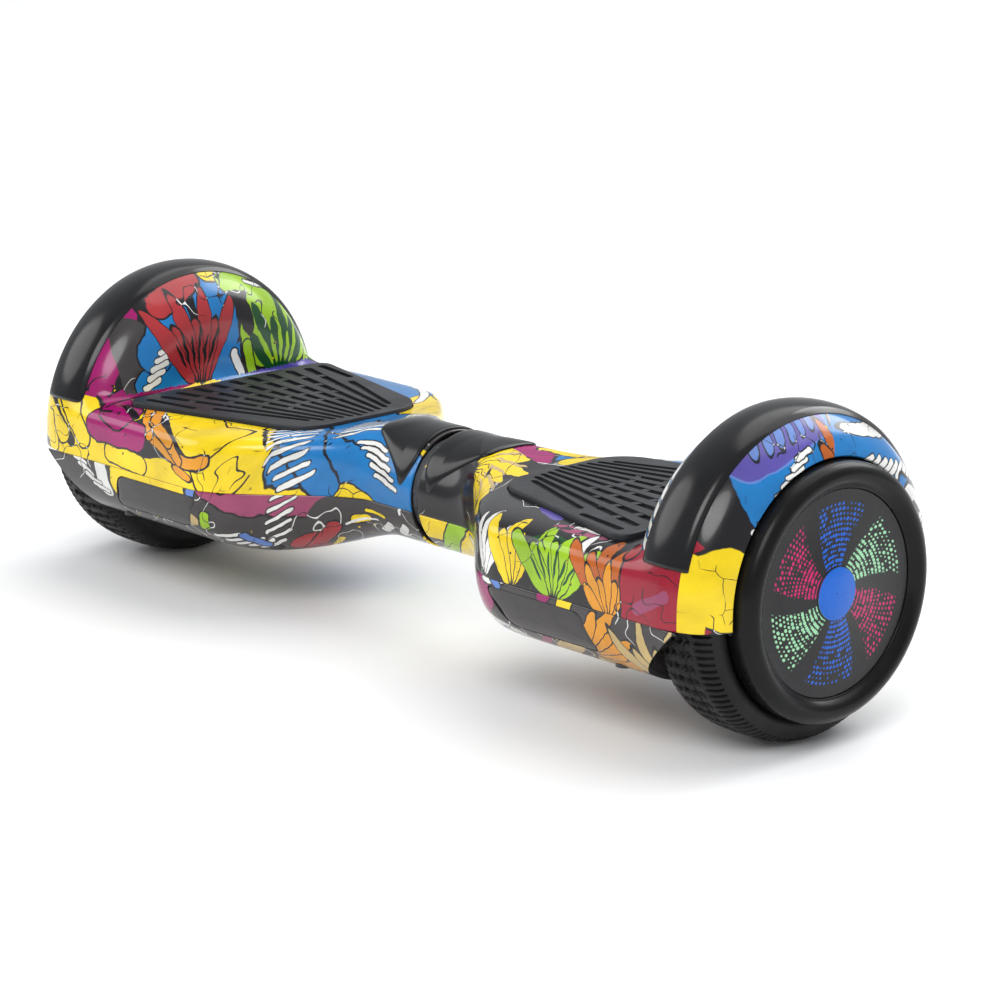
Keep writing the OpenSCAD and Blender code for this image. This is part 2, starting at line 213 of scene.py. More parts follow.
def rounded(outline, radius, steps):
    """Rounds the corners of a closed outline."""
    result = []
    n = len(outline)
    for i in range(n):
        before, here, after = (Vector(outline[(i + k) % n]) for k in (-1, 0, 1))
        size = min(radius, (before - here).length * 0.49, (after - here).length * 0.49)
        a = here + (before - here).normalized() * size
        b = here + (after - here).normalized() * size
        for k in range(steps + 1):
            t = k / steps
            result.append(tuple(a * (1 - t) ** 2 + here * 2 * t * (1 - t) + b * t * t))
    return result


def prism(outline, low, high, plane="xy"):
    """Points and faces of an outline in a plane, pushed along the third axis from low to high."""
    third = {"xy": 2, "xz": 1, "yz": 0}[plane]
    n = len(outline)
    points = [(*p[:third], h, *p[third:]) for h in (low, high) for p in outline]
    faces = [tuple(range(n)), tuple(range(2 * n - 1, n - 1, -1))]
    faces += [(i, (i + 1) % n, n + (i + 1) % n, n + i) for i in range(n)]
    return points, faces


def tube(centre, axis, radius, bore, low, high, segments):
    """Points and faces of a ring around a line, or a plug where bore is 0."""
    axis = Vector(axis).normalized()
    u = axis.orthogonal().normalized()
    v = axis.cross(u)
    corners = [(radius, low), (radius, high), (bore, high), (bore, low)]
    if bore == 0:
        corners = [(0.001, low), (radius, low), (radius, high), (0.001, high)]
    points = []
    for k in range(segments):
        a = 2 * math.pi * k / segments
        spoke = u * math.cos(a) + v * math.sin(a)
        points += [tuple(Vector(centre) + spoke * r + axis * h) for r, h in corners]
    return points, grid_faces(segments, 4, True, True)


def join_shapes(*shapes):
    points, faces = [], []
    for some_points, some_faces in shapes:
        base = len(points)
        points += some_points
        faces += [tuple(base + i for i in face) for face in some_faces]
    return points, faces


def carve(piece, cutter):
    """Cuts a shape, given as points and faces, out of a piece."""
    tool = put("cutter", *cutter, piece.data.materials[0])
    modifier = piece.modifiers.new("carve", "BOOLEAN")
    modifier.operation = "DIFFERENCE"
    modifier.solver = "EXACT"
    modifier.object = tool
    graph = bpy.context.evaluated_depsgraph_get()
    made = bpy.data.meshes.new_from_object(piece.evaluated_get(graph))
    piece.modifiers.clear()
    old = piece.data
    piece.data = made
    bpy.data.meshes.remove(old)
    bpy.data.objects.remove(tool)


def add_shape(piece, shape, material_index=0):
    """Adds a separate closed shape to a piece's mesh."""
    points, faces = shape
    work = bmesh.new()
    work.from_mesh(piece.data)
    made = [work.verts.new((p[0] * MM, p[1] * MM, p[2] * MM)) for p in points]
    for face in faces:
        try:
            work.faces.new([made[i] for i in face]).material_index = material_index
        except ValueError:
            pass
    work.to_mesh(piece.data)
    work.free()


def thicken(rows, columns, outer, inner):
    """Closes an outer and an inner sheet of the same grid into one solid."""
    n = rows * columns
    faces = grid_faces(rows, columns)
    faces += [tuple(n + i for i in reversed(face)) for face in faces]
    last = n - columns
    for j in range(columns - 1):
        faces.append((j, n + j, n + j + 1, j + 1))
        faces.append((last + j + 1, n + last + j + 1, n + last + j, last + j))
    for i in range(rows - 1):
        a, b = i * columns, (i + 1) * columns
        faces.append((a, b, n + b, n + a))
        faces.append((b + columns - 1, a + columns - 1, n + a + columns - 1, n + b + columns - 1))
    return outer + inner, faces


def moved_along_normals(rows, columns, points, distance):
    """The same sheet, moved along its own normals. Where rows meet, the normal comes from further rows."""
    result = []
    for i in range(rows):
        for j in range(columns):
            left, right = max(j - 1, 0), min(j + 1, columns - 1)
            across = Vector(points[i * columns + right]) - Vector(points[i * columns + left])
            for reach in range(1, rows):
                up, down = max(i - reach, 0), min(i + reach, rows - 1)
                along = Vector(points[down * columns + j]) - Vector(points[up * columns + j])
                normal = along.cross(across)
                if normal.length > 0.05:
                    break
            normal.normalize()
            result.append(tuple(Vector(points[i * columns + j]) + normal * distance))
    return result


# ---- materials ----
class Nodes:
    """A short way to write a material's node tree."""

    def __init__(self, name):
        self.material = bpy.data.materials.new(name)
        self.material.use_nodes = True
        self.tree = self.material.node_tree
        self.tree.nodes.clear()
        self.shader = self.new("BsdfPrincipled")
        self.new("OutputMaterial", {"Surface": self.shader.outputs[0]})
        self.place = self.new("TexCoord").outputs["Object"]

    def new(self, kind, inputs=None, **settings):
        """Adds a node. inputs holds a value or another node's output for each input."""
        node = self.tree.nodes.new("ShaderNode" + kind)
        for key, value in settings.items():
            setattr(node, key, value)
        for key, value in (inputs or {}).items():
            self.set(node.inputs[key], value)
        return node

    def set(self, socket, value):
        if isinstance(value, bpy.types.NodeSocket):
            self.tree.links.new(value, socket)
        elif socket.type == "RGBA":
            socket.default_value = (*value, 1)
        else:
            socket.default_value = value

    def surface(self, **values):
        names = {"color": "Base Color", "metallic": "Metallic", "roughness": "Roughness", "normal": "Normal",
                 "coat": "Coat Weight", "coat_roughness": "Coat Roughness", "specular": "Specular IOR Level",
                 "glow": "Emission Color", "glow_strength": "Emission Strength"}
        for key, value in values.items():
            self.set(self.shader.inputs[names[key]], value)

    def noise(self, scale, detail=3, roughness=0.5, place=None):
        inputs = {"Vector": place or self.place, "Scale": scale, "Detail": detail, "Roughness": roughness}
        return self.new("TexNoise", inputs).outputs["Fac"]

    def cells(self, scale, feature="F1", place=None):
        inputs = {"Vector": place or self.place, "Scale": scale}
        return self.new("TexVoronoi", inputs, feature=feature).outputs["Distance"]

    def ramp(self, value, low, high, out_low=0.0, out_high=1.0):
        inputs = dict(enumerate((value, low, high, out_low, out_high)))
        return self.new("MapRange", inputs, clamp=True).outputs[0]

    def math(self, operation, a, b=0.0):
        return self.new("Math", {0: a, 1: b}, operation=operation).outputs[0]

    def times(self, a, b):
        return self.math("MULTIPLY", a, b)

    def minus(self, a, b):
        return self.math("SUBTRACT", a, b)

    def most(self, a, b):
        return self.math("MAXIMUM", a, b)

    def vector(self, operation, *values):
        return self.new("VectorMath", dict(enumerate(values)), operation=operation).outputs[0]

    def mix(self, factor, a, b):
        return self.new("Mix", {0: factor, 6: a, 7: b}, data_type="RGBA").outputs[2]

    def bump(self, height, strength, distance=0.001):
        inputs = {"Strength": strength, "Distance": distance, "Height": height}
        return self.new("Bump", inputs).outputs[0]


def moulded(name, dark, light, roughness, spread=0.08, coat=0.0, grain=900, bump=0.05, shine=0.5):
    """Moulded plastic or rubber: fine grain, faint colour drift and uneven gloss."""
    n = Nodes(name)
    drift = n.noise(35, 4)
    fine = n.noise(grain, 4)
    n.surface(color=n.mix(n.ramp(drift, 0.35, 0.65), dark, light),
              roughness=n.ramp(n.noise(60, 5), 0.3, 0.7, max(roughness - spread, 0.03), roughness + spread),
              normal=n.bump(fine, bump, 0.0006), coat=coat, coat_roughness=0.12, specular=shine)
    return n.material


def metal(name, dark, light, roughness, grain=(1, 1, 1), bump=0.05, scale=500):
    """Metal with a directional or cast grain and uneven gloss."""
    n = Nodes(name)
    fine = n.noise(scale, 4, 0.6, n.new("Mapping", {"Vector": n.place, "Scale": grain}).outputs[0])
    n.surface(color=n.mix(n.ramp(fine, 0.3, 0.7), dark, light), metallic=1.0,
              roughness=n.ramp(fine, 0.3, 0.7, roughness - 0.07, roughness + 0.08),
              normal=n.bump(fine, bump, 0.0004))
    return n.material


def board_material():
    """Circuit board: solder resist with copper tracks and tinned pads."""
    n = Nodes("circuit_board")
    tracks = n.ramp(n.cells(260, "DISTANCE_TO_EDGE"), 0.05, 0.08)
    pads = n.ramp(n.cells(420), 0.16, 0.22)
    resist = n.mix(tracks, (0.05, 0.3, 0.12), (0.02, 0.14, 0.06))
    n.surface(color=n.mix(pads, (0.7, 0.7, 0.68), resist), roughness=n.ramp(pads, 0, 1, 0.3, 0.42),
              normal=n.bump(tracks, 0.2, 0.0003))
    return n.material


def winding_material():
    """Stator: laminated steel with bands of enamelled copper wire."""
    n = Nodes("stator")
    along = n.new("SeparateXYZ", {0: n.place}).outputs[0]
    wires = n.math("FRACT", n.times(along, 900.0))
    lines = n.ramp(n.math("ABSOLUTE", n.minus(wires, 0.5)), 0.1, 0.5)
    n.surface(color=n.mix(lines, (0.62, 0.27, 0.09), (0.2, 0.07, 0.03)), metallic=0.7,
              roughness=n.ramp(n.noise(300), 0.3, 0.7, 0.32, 0.5), normal=n.bump(lines, 0.4, 0.0005))
    return n.material


def battery_wrap_material():
    """Battery: blue shrink wrap with soft wrinkles."""
    n = Nodes("battery_wrap")
    wrinkles = n.noise(70, 6, 0.6)
    n.surface(color=n.mix(n.ramp(wrinkles, 0.3, 0.7), (0.02, 0.09, 0.34), (0.05, 0.17, 0.5)),
              roughness=n.ramp(wrinkles, 0.3, 0.7, 0.22, 0.4), normal=n.bump(wrinkles, 0.35, 0.002))
    return n.material


# Dark and light colour, roughness, its spread, coat, grain scale, bump and shine
MOULDED = {
    "black_trim": ((0.003, 0.003, 0.0035), (0.006, 0.006, 0.007), 0.2, 0.05, 0.12, 700, 0.02, 0.3),
    "cap_black": ((0.003, 0.003, 0.003), (0.005, 0.005, 0.0055), 0.3, 0.05, 0.05, 500, 0.015, 0.16),
    "mat_rubber": ((0.014, 0.015, 0.017), (0.024, 0.025, 0.029), 0.44, 0.08, 0.0, 1100, 0.12, 0.28),
    "tyre_rubber": ((0.006, 0.006, 0.0065), (0.013, 0.013, 0.014), 0.5, 0.1, 0.0, 900, 0.16, 0.22),
    "smoked_lens": ((0.026, 0.023, 0.023), (0.038, 0.034, 0.034), 0.14, 0.04, 0.2, 400, 0.01, 0.35),
    "white_plastic": ((0.7, 0.7, 0.68), (0.82, 0.82, 0.8), 0.45),
    "port_insert": ((0.01, 0.01, 0.01), (0.02, 0.02, 0.02), 0.4),
    "cable_jacket": ((0.012, 0.012, 0.012), (0.024, 0.024, 0.024), 0.5, 0.1, 0.0, 700, 0.1),
    "shell_inside": ((0.02, 0.02, 0.021), (0.035, 0.035, 0.036), 0.45)}
# Dark and light colour, roughness, stretch of the grain, bump and grain scale
METALS = {
    "cast_alloy": ((0.45, 0.46, 0.48), (0.62, 0.63, 0.65), 0.42, (1, 1, 1), 0.25, 350),
    "bright_steel": ((0.55, 0.56, 0.58), (0.75, 0.76, 0.78), 0.24, (40, 1, 1), 0.04, 60),
    "dark_steel": ((0.03, 0.03, 0.032), (0.07, 0.07, 0.072), 0.38, (1, 1, 1), 0.06, 600),
    "magnet": ((0.3, 0.3, 0.31), (0.48, 0.48, 0.49), 0.3, (1, 1, 1), 0.05, 300),
    "bronze": ((0.42, 0.24, 0.09), (0.6, 0.38, 0.17), 0.38, (1, 1, 1), 0.1, 900),
    "button_metal": ((0.3, 0.31, 0.32), (0.46, 0.47, 0.49), 0.3, (30, 1, 1), 0.05, 50)}
# Finish for each material slot of the frame, apart from the printed shells
FINISH = {name: moulded(name, *values) for name, values in MOULDED.items()}
FINISH.update((name, metal(name, *values)) for name, values in METALS.items())
FINISH["circuit_board"] = board_material()
FINISH["stator"] = winding_material()
FINISH["battery_wrap"] = battery_wrap_material()


# ---- shells ----
# Height above the joint line and inset of the wall's lowest rows, and the same for the rim at the gap
SEAM = ((0.15, 0.6), (0.4, 0.22), (0.9, 0.04), (2.0, 0.0), (4.0, 0.0), (6.0, 0.0), (7.9, 0.0))
RIM = ((0.0, -0.9), (0.12, -0.4), (0.5, -0.08), (1.2, 0.0))
ARC_STEPS = 128
BELLY_STEPS = 200
FILLET = 14


def upper_rows():
    """Rows of a section: up the rear wall from the joint line, over the deck, and down the front wall."""
    walls = [("wall", SPLIT_Z + rise, inset) for rise, inset in SEAM]
    arc = [("arc", math.pi * k / ARC_STEPS, 0) for k in range(ARC_STEPS + 1)]
    rear = [(kind, z, inset, 1) for kind, z, inset in walls]
    front = [(kind, z, inset, -1) for kind, z, inset in reversed(walls)]
    return rear + [(*row, 0) for row in arc] + front


def upper_stations():
    """Stations along the shell: distance x, fender radius there, and how far the skin is let in."""
    path = [(GAP_X + dx, 0.0, off) for dx, off in RIM]
    path += [(x, 0.0, 0.0) for x in frange(GAP_X + 3, 201, 3.3)]
    for radius in frange(6, FENDER_BASE - 2, 2.6):
        lean = 13 * max(0.0, (45 - radius) / 45) ** 2
        path.append((FENDER_X - FENDER_HALF - lean, radius, 0.0))
    lip_angle = math.pi - math.asin(((LIP_R - FENDER_BASE) / (FENDER_R - FENDER_BASE)) ** (FENDER_POWER / 2))
    for k in range(57):
        path.append((*crown_point(lip_angle * (k + 0.5) / 57.5), 0.0))
    end = crown_point(lip_angle)
    path += [(end[0], end[1], 0.0), (end[0] - 0.3, end[1] - 0.5, 0.0), (end[0] - 1.2, end[1] - 0.9, 0.0)]
    return path


def frange(start, stop, step):
    """Evenly spaced values from start to stop, about a step apart."""
    count = max(1, round((stop - start) / step))
    return [start + (stop - start) * k / count for k in range(count + 1)]


def upper_point(station, row):
    """Point of the upper shell, where the body blends into the fender and then gives way to it."""
    x, fender, off = station
    kind, value, inset, side = row
    fade = 9 * ease(222, 250, x) + 70 * ease(251, 270, x)
    angle = value if kind == "arc" else 0.0
    radius = body_r(angle, x, off) - fade
    if fender > 0:
        radius = soft_max(radius, fender, FILLET)
    if kind == "arc":
        return x, radius * math.cos(angle), AXLE_Z + radius * math.sin(angle)
    y = radius * side_y(x, value) / half_w(x) - inset
    return x, side * y, value


def circle_line(points, cx, cy, radius, start, stop, steps):
    """Adds an arc from one angle to another, in degrees."""
    for k in range(steps + 1):
        a = math.radians(start + (stop - start) * k / steps)
        points.append((cx + radius * math.cos(a), cy + radius * math.sin(a)))


def mat_outline(grow=0.0):
    """Outline of the foot mat in plan: a broad round nose and a wide end with small corners."""
    nose, corner = 26.0, 8.0
    x0, x1, half = MAT[0][0], MAT[1][0], MAT[1][1]
    rise = math.atan2(half - corner - nose, x1 - corner - x0 - nose)
    span = math.hypot(half - corner - nose, x1 - corner - x0 - nose)
    tangent = math.degrees(rise + math.acos((nose - corner) / span))
    points = []
    circle_line(points, x0 + nose, nose, nose + grow, 180, tangent, 16)
    circle_line(points, x1 - corner, half - corner, corner + grow, tangent, 0, 8)
    return points + [(x, -y) for x, y in reversed(points)]


def upper_shell(side_name, side):
    """Deck and fender in one skin, with a walled pocket for the foot mat."""
    rows, stations = upper_rows(), upper_stations()
    outer = [upper_point(station, row) for station in stations for row in rows]
    n, m = len(stations), len(rows)
    points, faces = thicken(n, m, outer, moved_along_normals(n, m, outer, SKIN))
    shell = put(f"upper_shell_{side_name}_skin", points, faces, FINISH["shell_inside"], 35, (n - 1) * (m - 1))
    pocket_z, above_deck_z = 98, 125
    carve(shell, prism(mat_outline(0.6), pocket_z, above_deck_z))
    floor = MAT[0][2] - 2.2
    rim_outer, rim_inner = mat_outline(2.6), mat_outline(0.8)
    add_shape(shell, prism(mat_outline(2.8), floor - 2.2, floor))
    wall = [(x, y, floor - 1) for x, y in rim_outer] + [(x, y, DECK_Z - 1.6) for x, y in rim_outer]
    wall += [(x, y, DECK_Z - 1.3) for x, y in rim_inner] + [(x, y, floor - 1) for x, y in rim_inner]
    add_shape(shell, (wall, grid_faces(4, len(rim_outer), True, True)))
    finish_shell(shell, side_name, side, "upper_shell")


def lower_stations():
    """Stations along the shell: distance x, how far the skin is let in, and share of the lug's length."""
    path = [(GAP_X + dx, off, 0) for dx, off in RIM]
    path += [(x, 0.0, 0) for x in frange(GAP_X + 3, WELL_X, 3.3)]
    return path + [(WELL_X, 0.0, k / 8) for k in range(1, 9)]


def lower_section(x, off, share):
    """Points of a section from the rear joint line, under the belly, to the front one."""
    start = -math.asin((AXLE_Z - SPLIT_Z) / body_r(-0.05, x, off))
    span = math.pi + 2 * start
    radius = body_r(start, x, off)
    ends = [d / radius for d in (0.0, 0.25, 0.7, 1.6)]
    first = 2.6 / radius
    turns = ends + [first + (span - 2 * first) * k / BELLY_STEPS for k in range(BELLY_STEPS + 1)]
    turns += [span - turn for turn in reversed(ends)]
    points = []
    for turn in turns:
        angle = start - turn
        r = body_r(angle, x, off)
        from_edge = min(turn, span - turn) * radius
        inset = 0.6 * max(0.0, 1 - from_edge / 0.9) ** 2
        y, z = (r - inset) * math.cos(angle), AXLE_Z + r * math.sin(angle)
        lug_reach = max(0.0, z - LUG_BASE_Z) * (LUG_X - WELL_X) / (SPLIT_Z - LUG_BASE_Z)
        points.append((x + share * lug_reach, y, z))
    return points


def lower_shell(side_name, side):
    """Belly with its lens opening, screw posts and rear fittings' holes."""
    sections = [lower_section(*station) for station in lower_stations()]
    n, m = len(sections), len(sections[0])
    outer = sum(sections, [])
    points, faces = thicken(n, m, outer, moved_along_normals(n, m, outer, -SKIN))
    shell = put(f"lower_shell_{side_name}_skin", points, faces, FINISH["shell_inside"], 40, (n - 1) * (m - 1))
    cuts = [prism(lens_outline(0.3), -110, -60, "xz")]
    cuts += [tube((x, y, 20), (0, 0, 1), 3.6, 0, 0, 30, 24) for x, y in SCREW_POSTS]
    if side_name == "right":
        cuts += [tube(*rear_fitting(x), FITTING_HOLE_R, 0, -9, 6, 48) for x in (PORT_X, BUTTON_X)]
    carve(shell, join_shapes(*cuts))
    for x, y in SCREW_POSTS:
        base = AXLE_Z - body_drop_at(x, y) + 0.6
        add_shape(shell, tube((x, y, 0), (0, 0, 1), 5, 3.6, base, 62, 24))
    if side_name == "right":
        for x in (PORT_X, BUTTON_X):
            add_shape(shell, tube(*rear_fitting(x), 10.4, FITTING_HOLE_R, -7, -1.6, 48))
    add_shape(shell, well_wall(), 1)
    finish_shell(shell, side_name, side, "lower_shell")


def body_drop_at(x, y):
    """How far the belly is below the axle at a place in plan."""
    height, power = section(x, False)
    return height * (1 - (abs(y) / half_w(x)) ** power) ** (1 / power)


def well_wall():
    """Flat wall between the body and the wheel, with a notch for the axle."""
    outline, notch_r = [], 11
    for k in range(61):
        angle = -math.asin((AXLE_Z - SPLIT_Z) / HALF_WIDTH) - (math.pi - 0.172) * k / 60
        r = body_r(angle, WELL_X, -1.4)
        outline.append((r * math.cos(angle), AXLE_Z + r * math.sin(angle)))
    circle_line(outline, 0, AXLE_Z, notch_r, -135, -45, 16)
    return prism(outline, WELL_X - 3, WELL_X - 0.3, "yz")


def lens_outline(grow=0.0):
    """Outline of the headlight lens from the front: a slanted bar with round corners."""
    corners = [(127, 67), (190, 67), (197, 54), (140, 54)]
    centre = Vector((sum(p[0] for p in corners) / 4, sum(p[1] for p in corners) / 4))
    spread = []
    for p in corners:
        d = Vector(p) - centre
        spread.append((p[0] + math.copysign(4 + grow, d.x) * (1.25 if d.x * d.y < 0 else 0.95),
                       p[1] + math.copysign(4 + grow, d.y)))
    return rounded(spread, 5.5, 6)


def rear_fitting(x):
    """Centre and outward axis of a fitting in the rear wall."""
    centre = (x, side_y(x, FITTING_Z), FITTING_Z)
    return centre, (0, math.cos(FITTING_TILT), -math.sin(FITTING_TILT))


def finish_shell(shell, side_name, side, node):
    """Prints a shell made for the right half, and mirrors it for the left half."""
    tidy(shell, 32)
    films = (FILMS_UPPER if node == "upper_shell" else FILMS_LOWER)[side_name]
    paint_map(shell, films)
    if side < 0:
        flip_x(shell)
    take(shell, f"{side_name}_half", "printed_shell", f"{node}_{side_name}")


def flip_x(piece):
    piece.data.transform(Matrix.Scale(-1, 4, (1, 0, 0)))
    piece.data.flip_normals()


# ---- layout of the printed film ----
# Steps of the distance round a section, spacing and number of the sections it is measured at, the distance
# at the joint line beside the wheel, and how far the fender's faces lie from the rest
GIRTH_STEPS = 120
GIRTH_PITCH = 3
GIRTH_SECTIONS = 48
SIDE_GIRTH = 115
FACE_SHIFT = 500


def girth_table(x):
    """Distance round the section from the belly's middle line, against angle."""
    points = []
    for k in range(GIRTH_STEPS + 1):
        angle = -math.pi / 2 + math.pi * k / GIRTH_STEPS
        r = body_r(angle, x)
        points.append(Vector((r * math.cos(angle), r * math.sin(angle))))
    table = [0.0]
    for last, here in zip(points, points[1:]):
        table.append(table[-1] + (here - last).length)
    return table


GIRTHS = [girth_table(GIRTH_PITCH * k) for k in range(GIRTH_SECTIONS)]


def girth(x, y, z):
    """Distance round the nearest section to a point."""
    row = GIRTHS[min(GIRTH_SECTIONS - 1, max(0, round(x / GIRTH_PITCH)))]
    angle = math.atan2(z - AXLE_Z, abs(y))
    place = (angle + math.pi / 2) / math.pi * GIRTH_STEPS
    k = min(GIRTH_STEPS - 1, int(place))
    return row[k] + (row[k + 1] - row[k]) * (place - k)


def paint_map(piece, films):
    """Lays the film out flat: x along the board against distance round the body, front negative.

    The fender's faces lie apart, as seen along the axle. Each face takes the film of its own region.
    """
    mesh = piece.data
    layer = mesh.uv_layers.new(name="film")
    printed = [face.material_index == 1 for face in mesh.polygons]
    mesh.materials.clear()
    for material in (*films, FINISH["shell_inside"]):
        mesh.materials.append(material)
    has_fender = len(films) > 2
    for face in mesh.polygons:
        normal, centre = face.normal, face.center / MM
        is_outer_face = centre.x > FENDER_X
        faces_axle = abs(normal.x) > 0.3
        on_fender = (centre.x > 202 and centre.z > DECK_Z + 2) or (centre.x > 250 and faces_axle)
        on_fender = has_fender and on_fender and (faces_axle or centre.z > AXLE_Z + 50)
        region = (2 if is_outer_face else 3) if on_fender else (0 if centre.y < 0 else 1)
        for loop in face.loop_indices:
            p = mesh.vertices[mesh.loops[loop].vertex_index].co / MM
            if on_fender:
                uv = (p.y + (FACE_SHIFT if is_outer_face else -FACE_SHIFT), p.z)
            else:
                on_wall = p.x > 214 and p.z > SPLIT_Z
                around = SIDE_GIRTH + (p.z - SPLIT_Z) if on_wall else girth(p.x, p.y, p.z)
                uv = (p.x, around if region == 1 else -around)
            layer.data[loop].uv = (uv[0] * MM, uv[1] * MM)
        face.material_index = region if printed[face.index] else len(films)


def take(piece, body, slot, *nodes):
    """Puts a finished piece on its body in place of the CAD nodes that it stands for."""
    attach(piece, body)
    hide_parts(*nodes)


# ---- other outer pieces ----
def fender_bumper(side_name, side):
    """Black strip over the fender's crown, with rounded edges and ends."""
    half, proud, start, steps = 16.0, 2.0, math.radians(14.6), 120
    stop = math.pi - start
    ends = [math.radians(d) for d in (0.25, 0.6, 1.0)]
    angles = [start, *(start + d for d in ends)]
    angles += [start + (math.pi - 2 * start) * k / steps for k in range(1, steps)]
    angles += [*(stop - d for d in reversed(ends)), stop]
    across = [half * k / 12 for k in range(-12, 13)]
    points = []
    for angle in angles:
        near = min(angle - start, stop - angle) * FENDER_R
        lift = proud * math.sqrt(max(0.02, 1 - max(0.0, 1 - near / 2.0) ** 2))
        outline = []
        for x in across:
            edge_drop = 1.5 * (1 - ease(0, 2.2, half - abs(x)))
            outline.append((FENDER_X + x, crown_r(FENDER_X + x) + lift - edge_drop))
        outline += [(FENDER_X + x, crown_r(FENDER_X + x) - 0.4) for x in reversed(across)]
        points += [(side * x, r * math.cos(angle), AXLE_Z + r * math.sin(angle)) for x, r in outline]
    rows, columns = len(angles), 2 * len(across)
    faces = grid_faces(rows, columns, False, True)
    faces += [tuple(range(columns)), tuple(range((rows - 1) * columns, rows * columns))]
    piece = put(f"fender_bumper_{side_name}_strip", points, faces, FINISH["black_trim"], 40)
    take(piece, f"{side_name}_half", "black_trim", f"fender_bumper_{side_name}")


def patch(name, outline, centre, place, steps, material):
    """A closed pad over a flat outline.

    steps are (scale, height) from its underside's rim to its middle, and place turns an outline point and a
    height into a point.
    """
    n, rows = len(outline), len(steps)
    points = []
    for scale, height in steps:
        for a, b in outline:
            at = (centre[0] + (a - centre[0]) * scale, centre[1] + (b - centre[1]) * scale)
            points.append(place(*at, height))
    points.append(place(*centre, steps[-1][1]))
    points.append(place(*centre, steps[0][1]))
    faces = grid_faces(rows, n, False, True)
    last = (rows - 1) * n
    faces += [(last + i, last + (i + 1) % n, rows * n) for i in range(n)]
    faces += [(i, (i + 1) % n, rows * n + 1) for i in range(n)]
    return put(name, points, faces, material, 40)


# Scale and height of the centre cover's pillowed edge and top
PAD = ((0.97, 0.1), (1.0, 0.1), (1.0, 0.75), (0.992, 1.05), (0.975, 1.3), (0.945, 1.48), (0.9, 1.58),
       *((scale, 1.6) for scale in (0.8, 0.65, 0.5, 0.35, 0.2, 0.08)))


def cover_outline():
    """Outline of the centre cover in plan: a saddle that narrows away from the gap."""
    nose, shoulder = (12.0, 26.5, 7.0), (36.0, 14.0, 9.0)
    points = []
    along = math.degrees(math.atan2(shoulder[1] - nose[1], shoulder[0] - nose[0]))
    tip = math.degrees(math.asin((shoulder[2] - nose[2]) / math.dist(nose[:2], shoulder[:2])))
    circle_line(points, *nose, 180, along + 90 - tip, 14)
    circle_line(points, *shoulder, along + 90 - tip, 0, 16)
    points += [(shoulder[0] + shoulder[2], y) for y in (10.5, 7, 3.5)]
    back = [(x, -y) for x, y in reversed(points)]
    left_edge = [(nose[0] - nose[2], y) for y in frange(-24, 24, 4)]
    return points + [(shoulder[0] + shoulder[2], 0)] + back + left_edge


def centre_cover(side_name, side):
    """Black saddle over the neck, with a pillowed edge."""
    def place(x, y, height):
        deep, power = section(x, True)
        wide = half_w(x) + height
        lift = (deep + height) * (1 - min(0.9999, abs(y) / wide) ** power) ** (1 / power)
        return side * x, y, AXLE_Z + lift

    name = f"centre_cover_{side_name}_saddle"
    piece = patch(name, cover_outline(), (22, 0), place, PAD, FINISH["black_trim"])
    take(piece, f"{side_name}_half", "black_trim", f"centre_cover_{side_name}")


def headlight_lens(side_name, side):
    """Smoked lens that follows the lower shell's front."""
    def place(x, z, height):
        return side * x, -(side_y(x, z) - 2.2 + height), z

    steps = ((0.9, 0.0), (1.0, 0.0), (1.0, 1.5), (0.996, 1.85), (0.985, 2.05),
             *((scale, 2.15) for scale in (0.96, 0.85, 0.7, 0.55, 0.4, 0.25, 0.1)))
    outline = lens_outline()
    middle = [sum(values) / len(outline) for values in zip(*outline)]
    piece = patch(f"headlight_lens_{side_name}_glass", outline, middle, place, steps, FINISH["smoked_lens"])
    take(piece, f"{side_name}_half", "smoked_lens", f"headlight_lens_{side_name}")


# Grooves of the foot mat in plan: start and end (x, y) with the width at each
GROOVES = [((200, 0, 3.0), (84, 0, 1.6))]
for s in (-1, 1):
    GROOVES += [((200, 14 * s, 3.0), (86, 5.5 * s, 1.6)), ((199, 28 * s, 3.0), (87, 11.5 * s, 1.7)),
                ((198, 42 * s, 3.0), (88, 17.5 * s, 1.8)), ((196, 55 * s, 2.8), (90, 24 * s, 2.0)),
                ((152, 52 * s, 2.4), (95, 31 * s, 2.0)), ((196, 66 * s, 2.6), (163, 60 * s, 2.2))]
CHEVRONS = ((188, 55, 13, 2.6), (168, 42, 11, 2.4), (149, 30, 9, 2.2), (131, 19, 6, 2.0))


def stroke_outline(a, b):
    """A tapering bar with round ends between two (x, y, half width) points."""
    along = math.degrees(math.atan2(b[1] - a[1], b[0] - a[0]))
    points = []
    circle_line(points, *b, along - 90, along + 90, 6)
    circle_line(points, *a, along + 90, along + 270, 6)
    return points


def chevron(x, half, sweep, width, low, high):
    """A curved crossbar, bowed towards the wheel."""
    front, back = [], []
    for k in range(17):
        t = -1 + k / 8
        here = (x - sweep * t * t, half * t)
        front.append((here[0] + width, here[1]))
        back.append((here[0] - width, here[1]))
    return prism(front + list(reversed(back)), low, high)


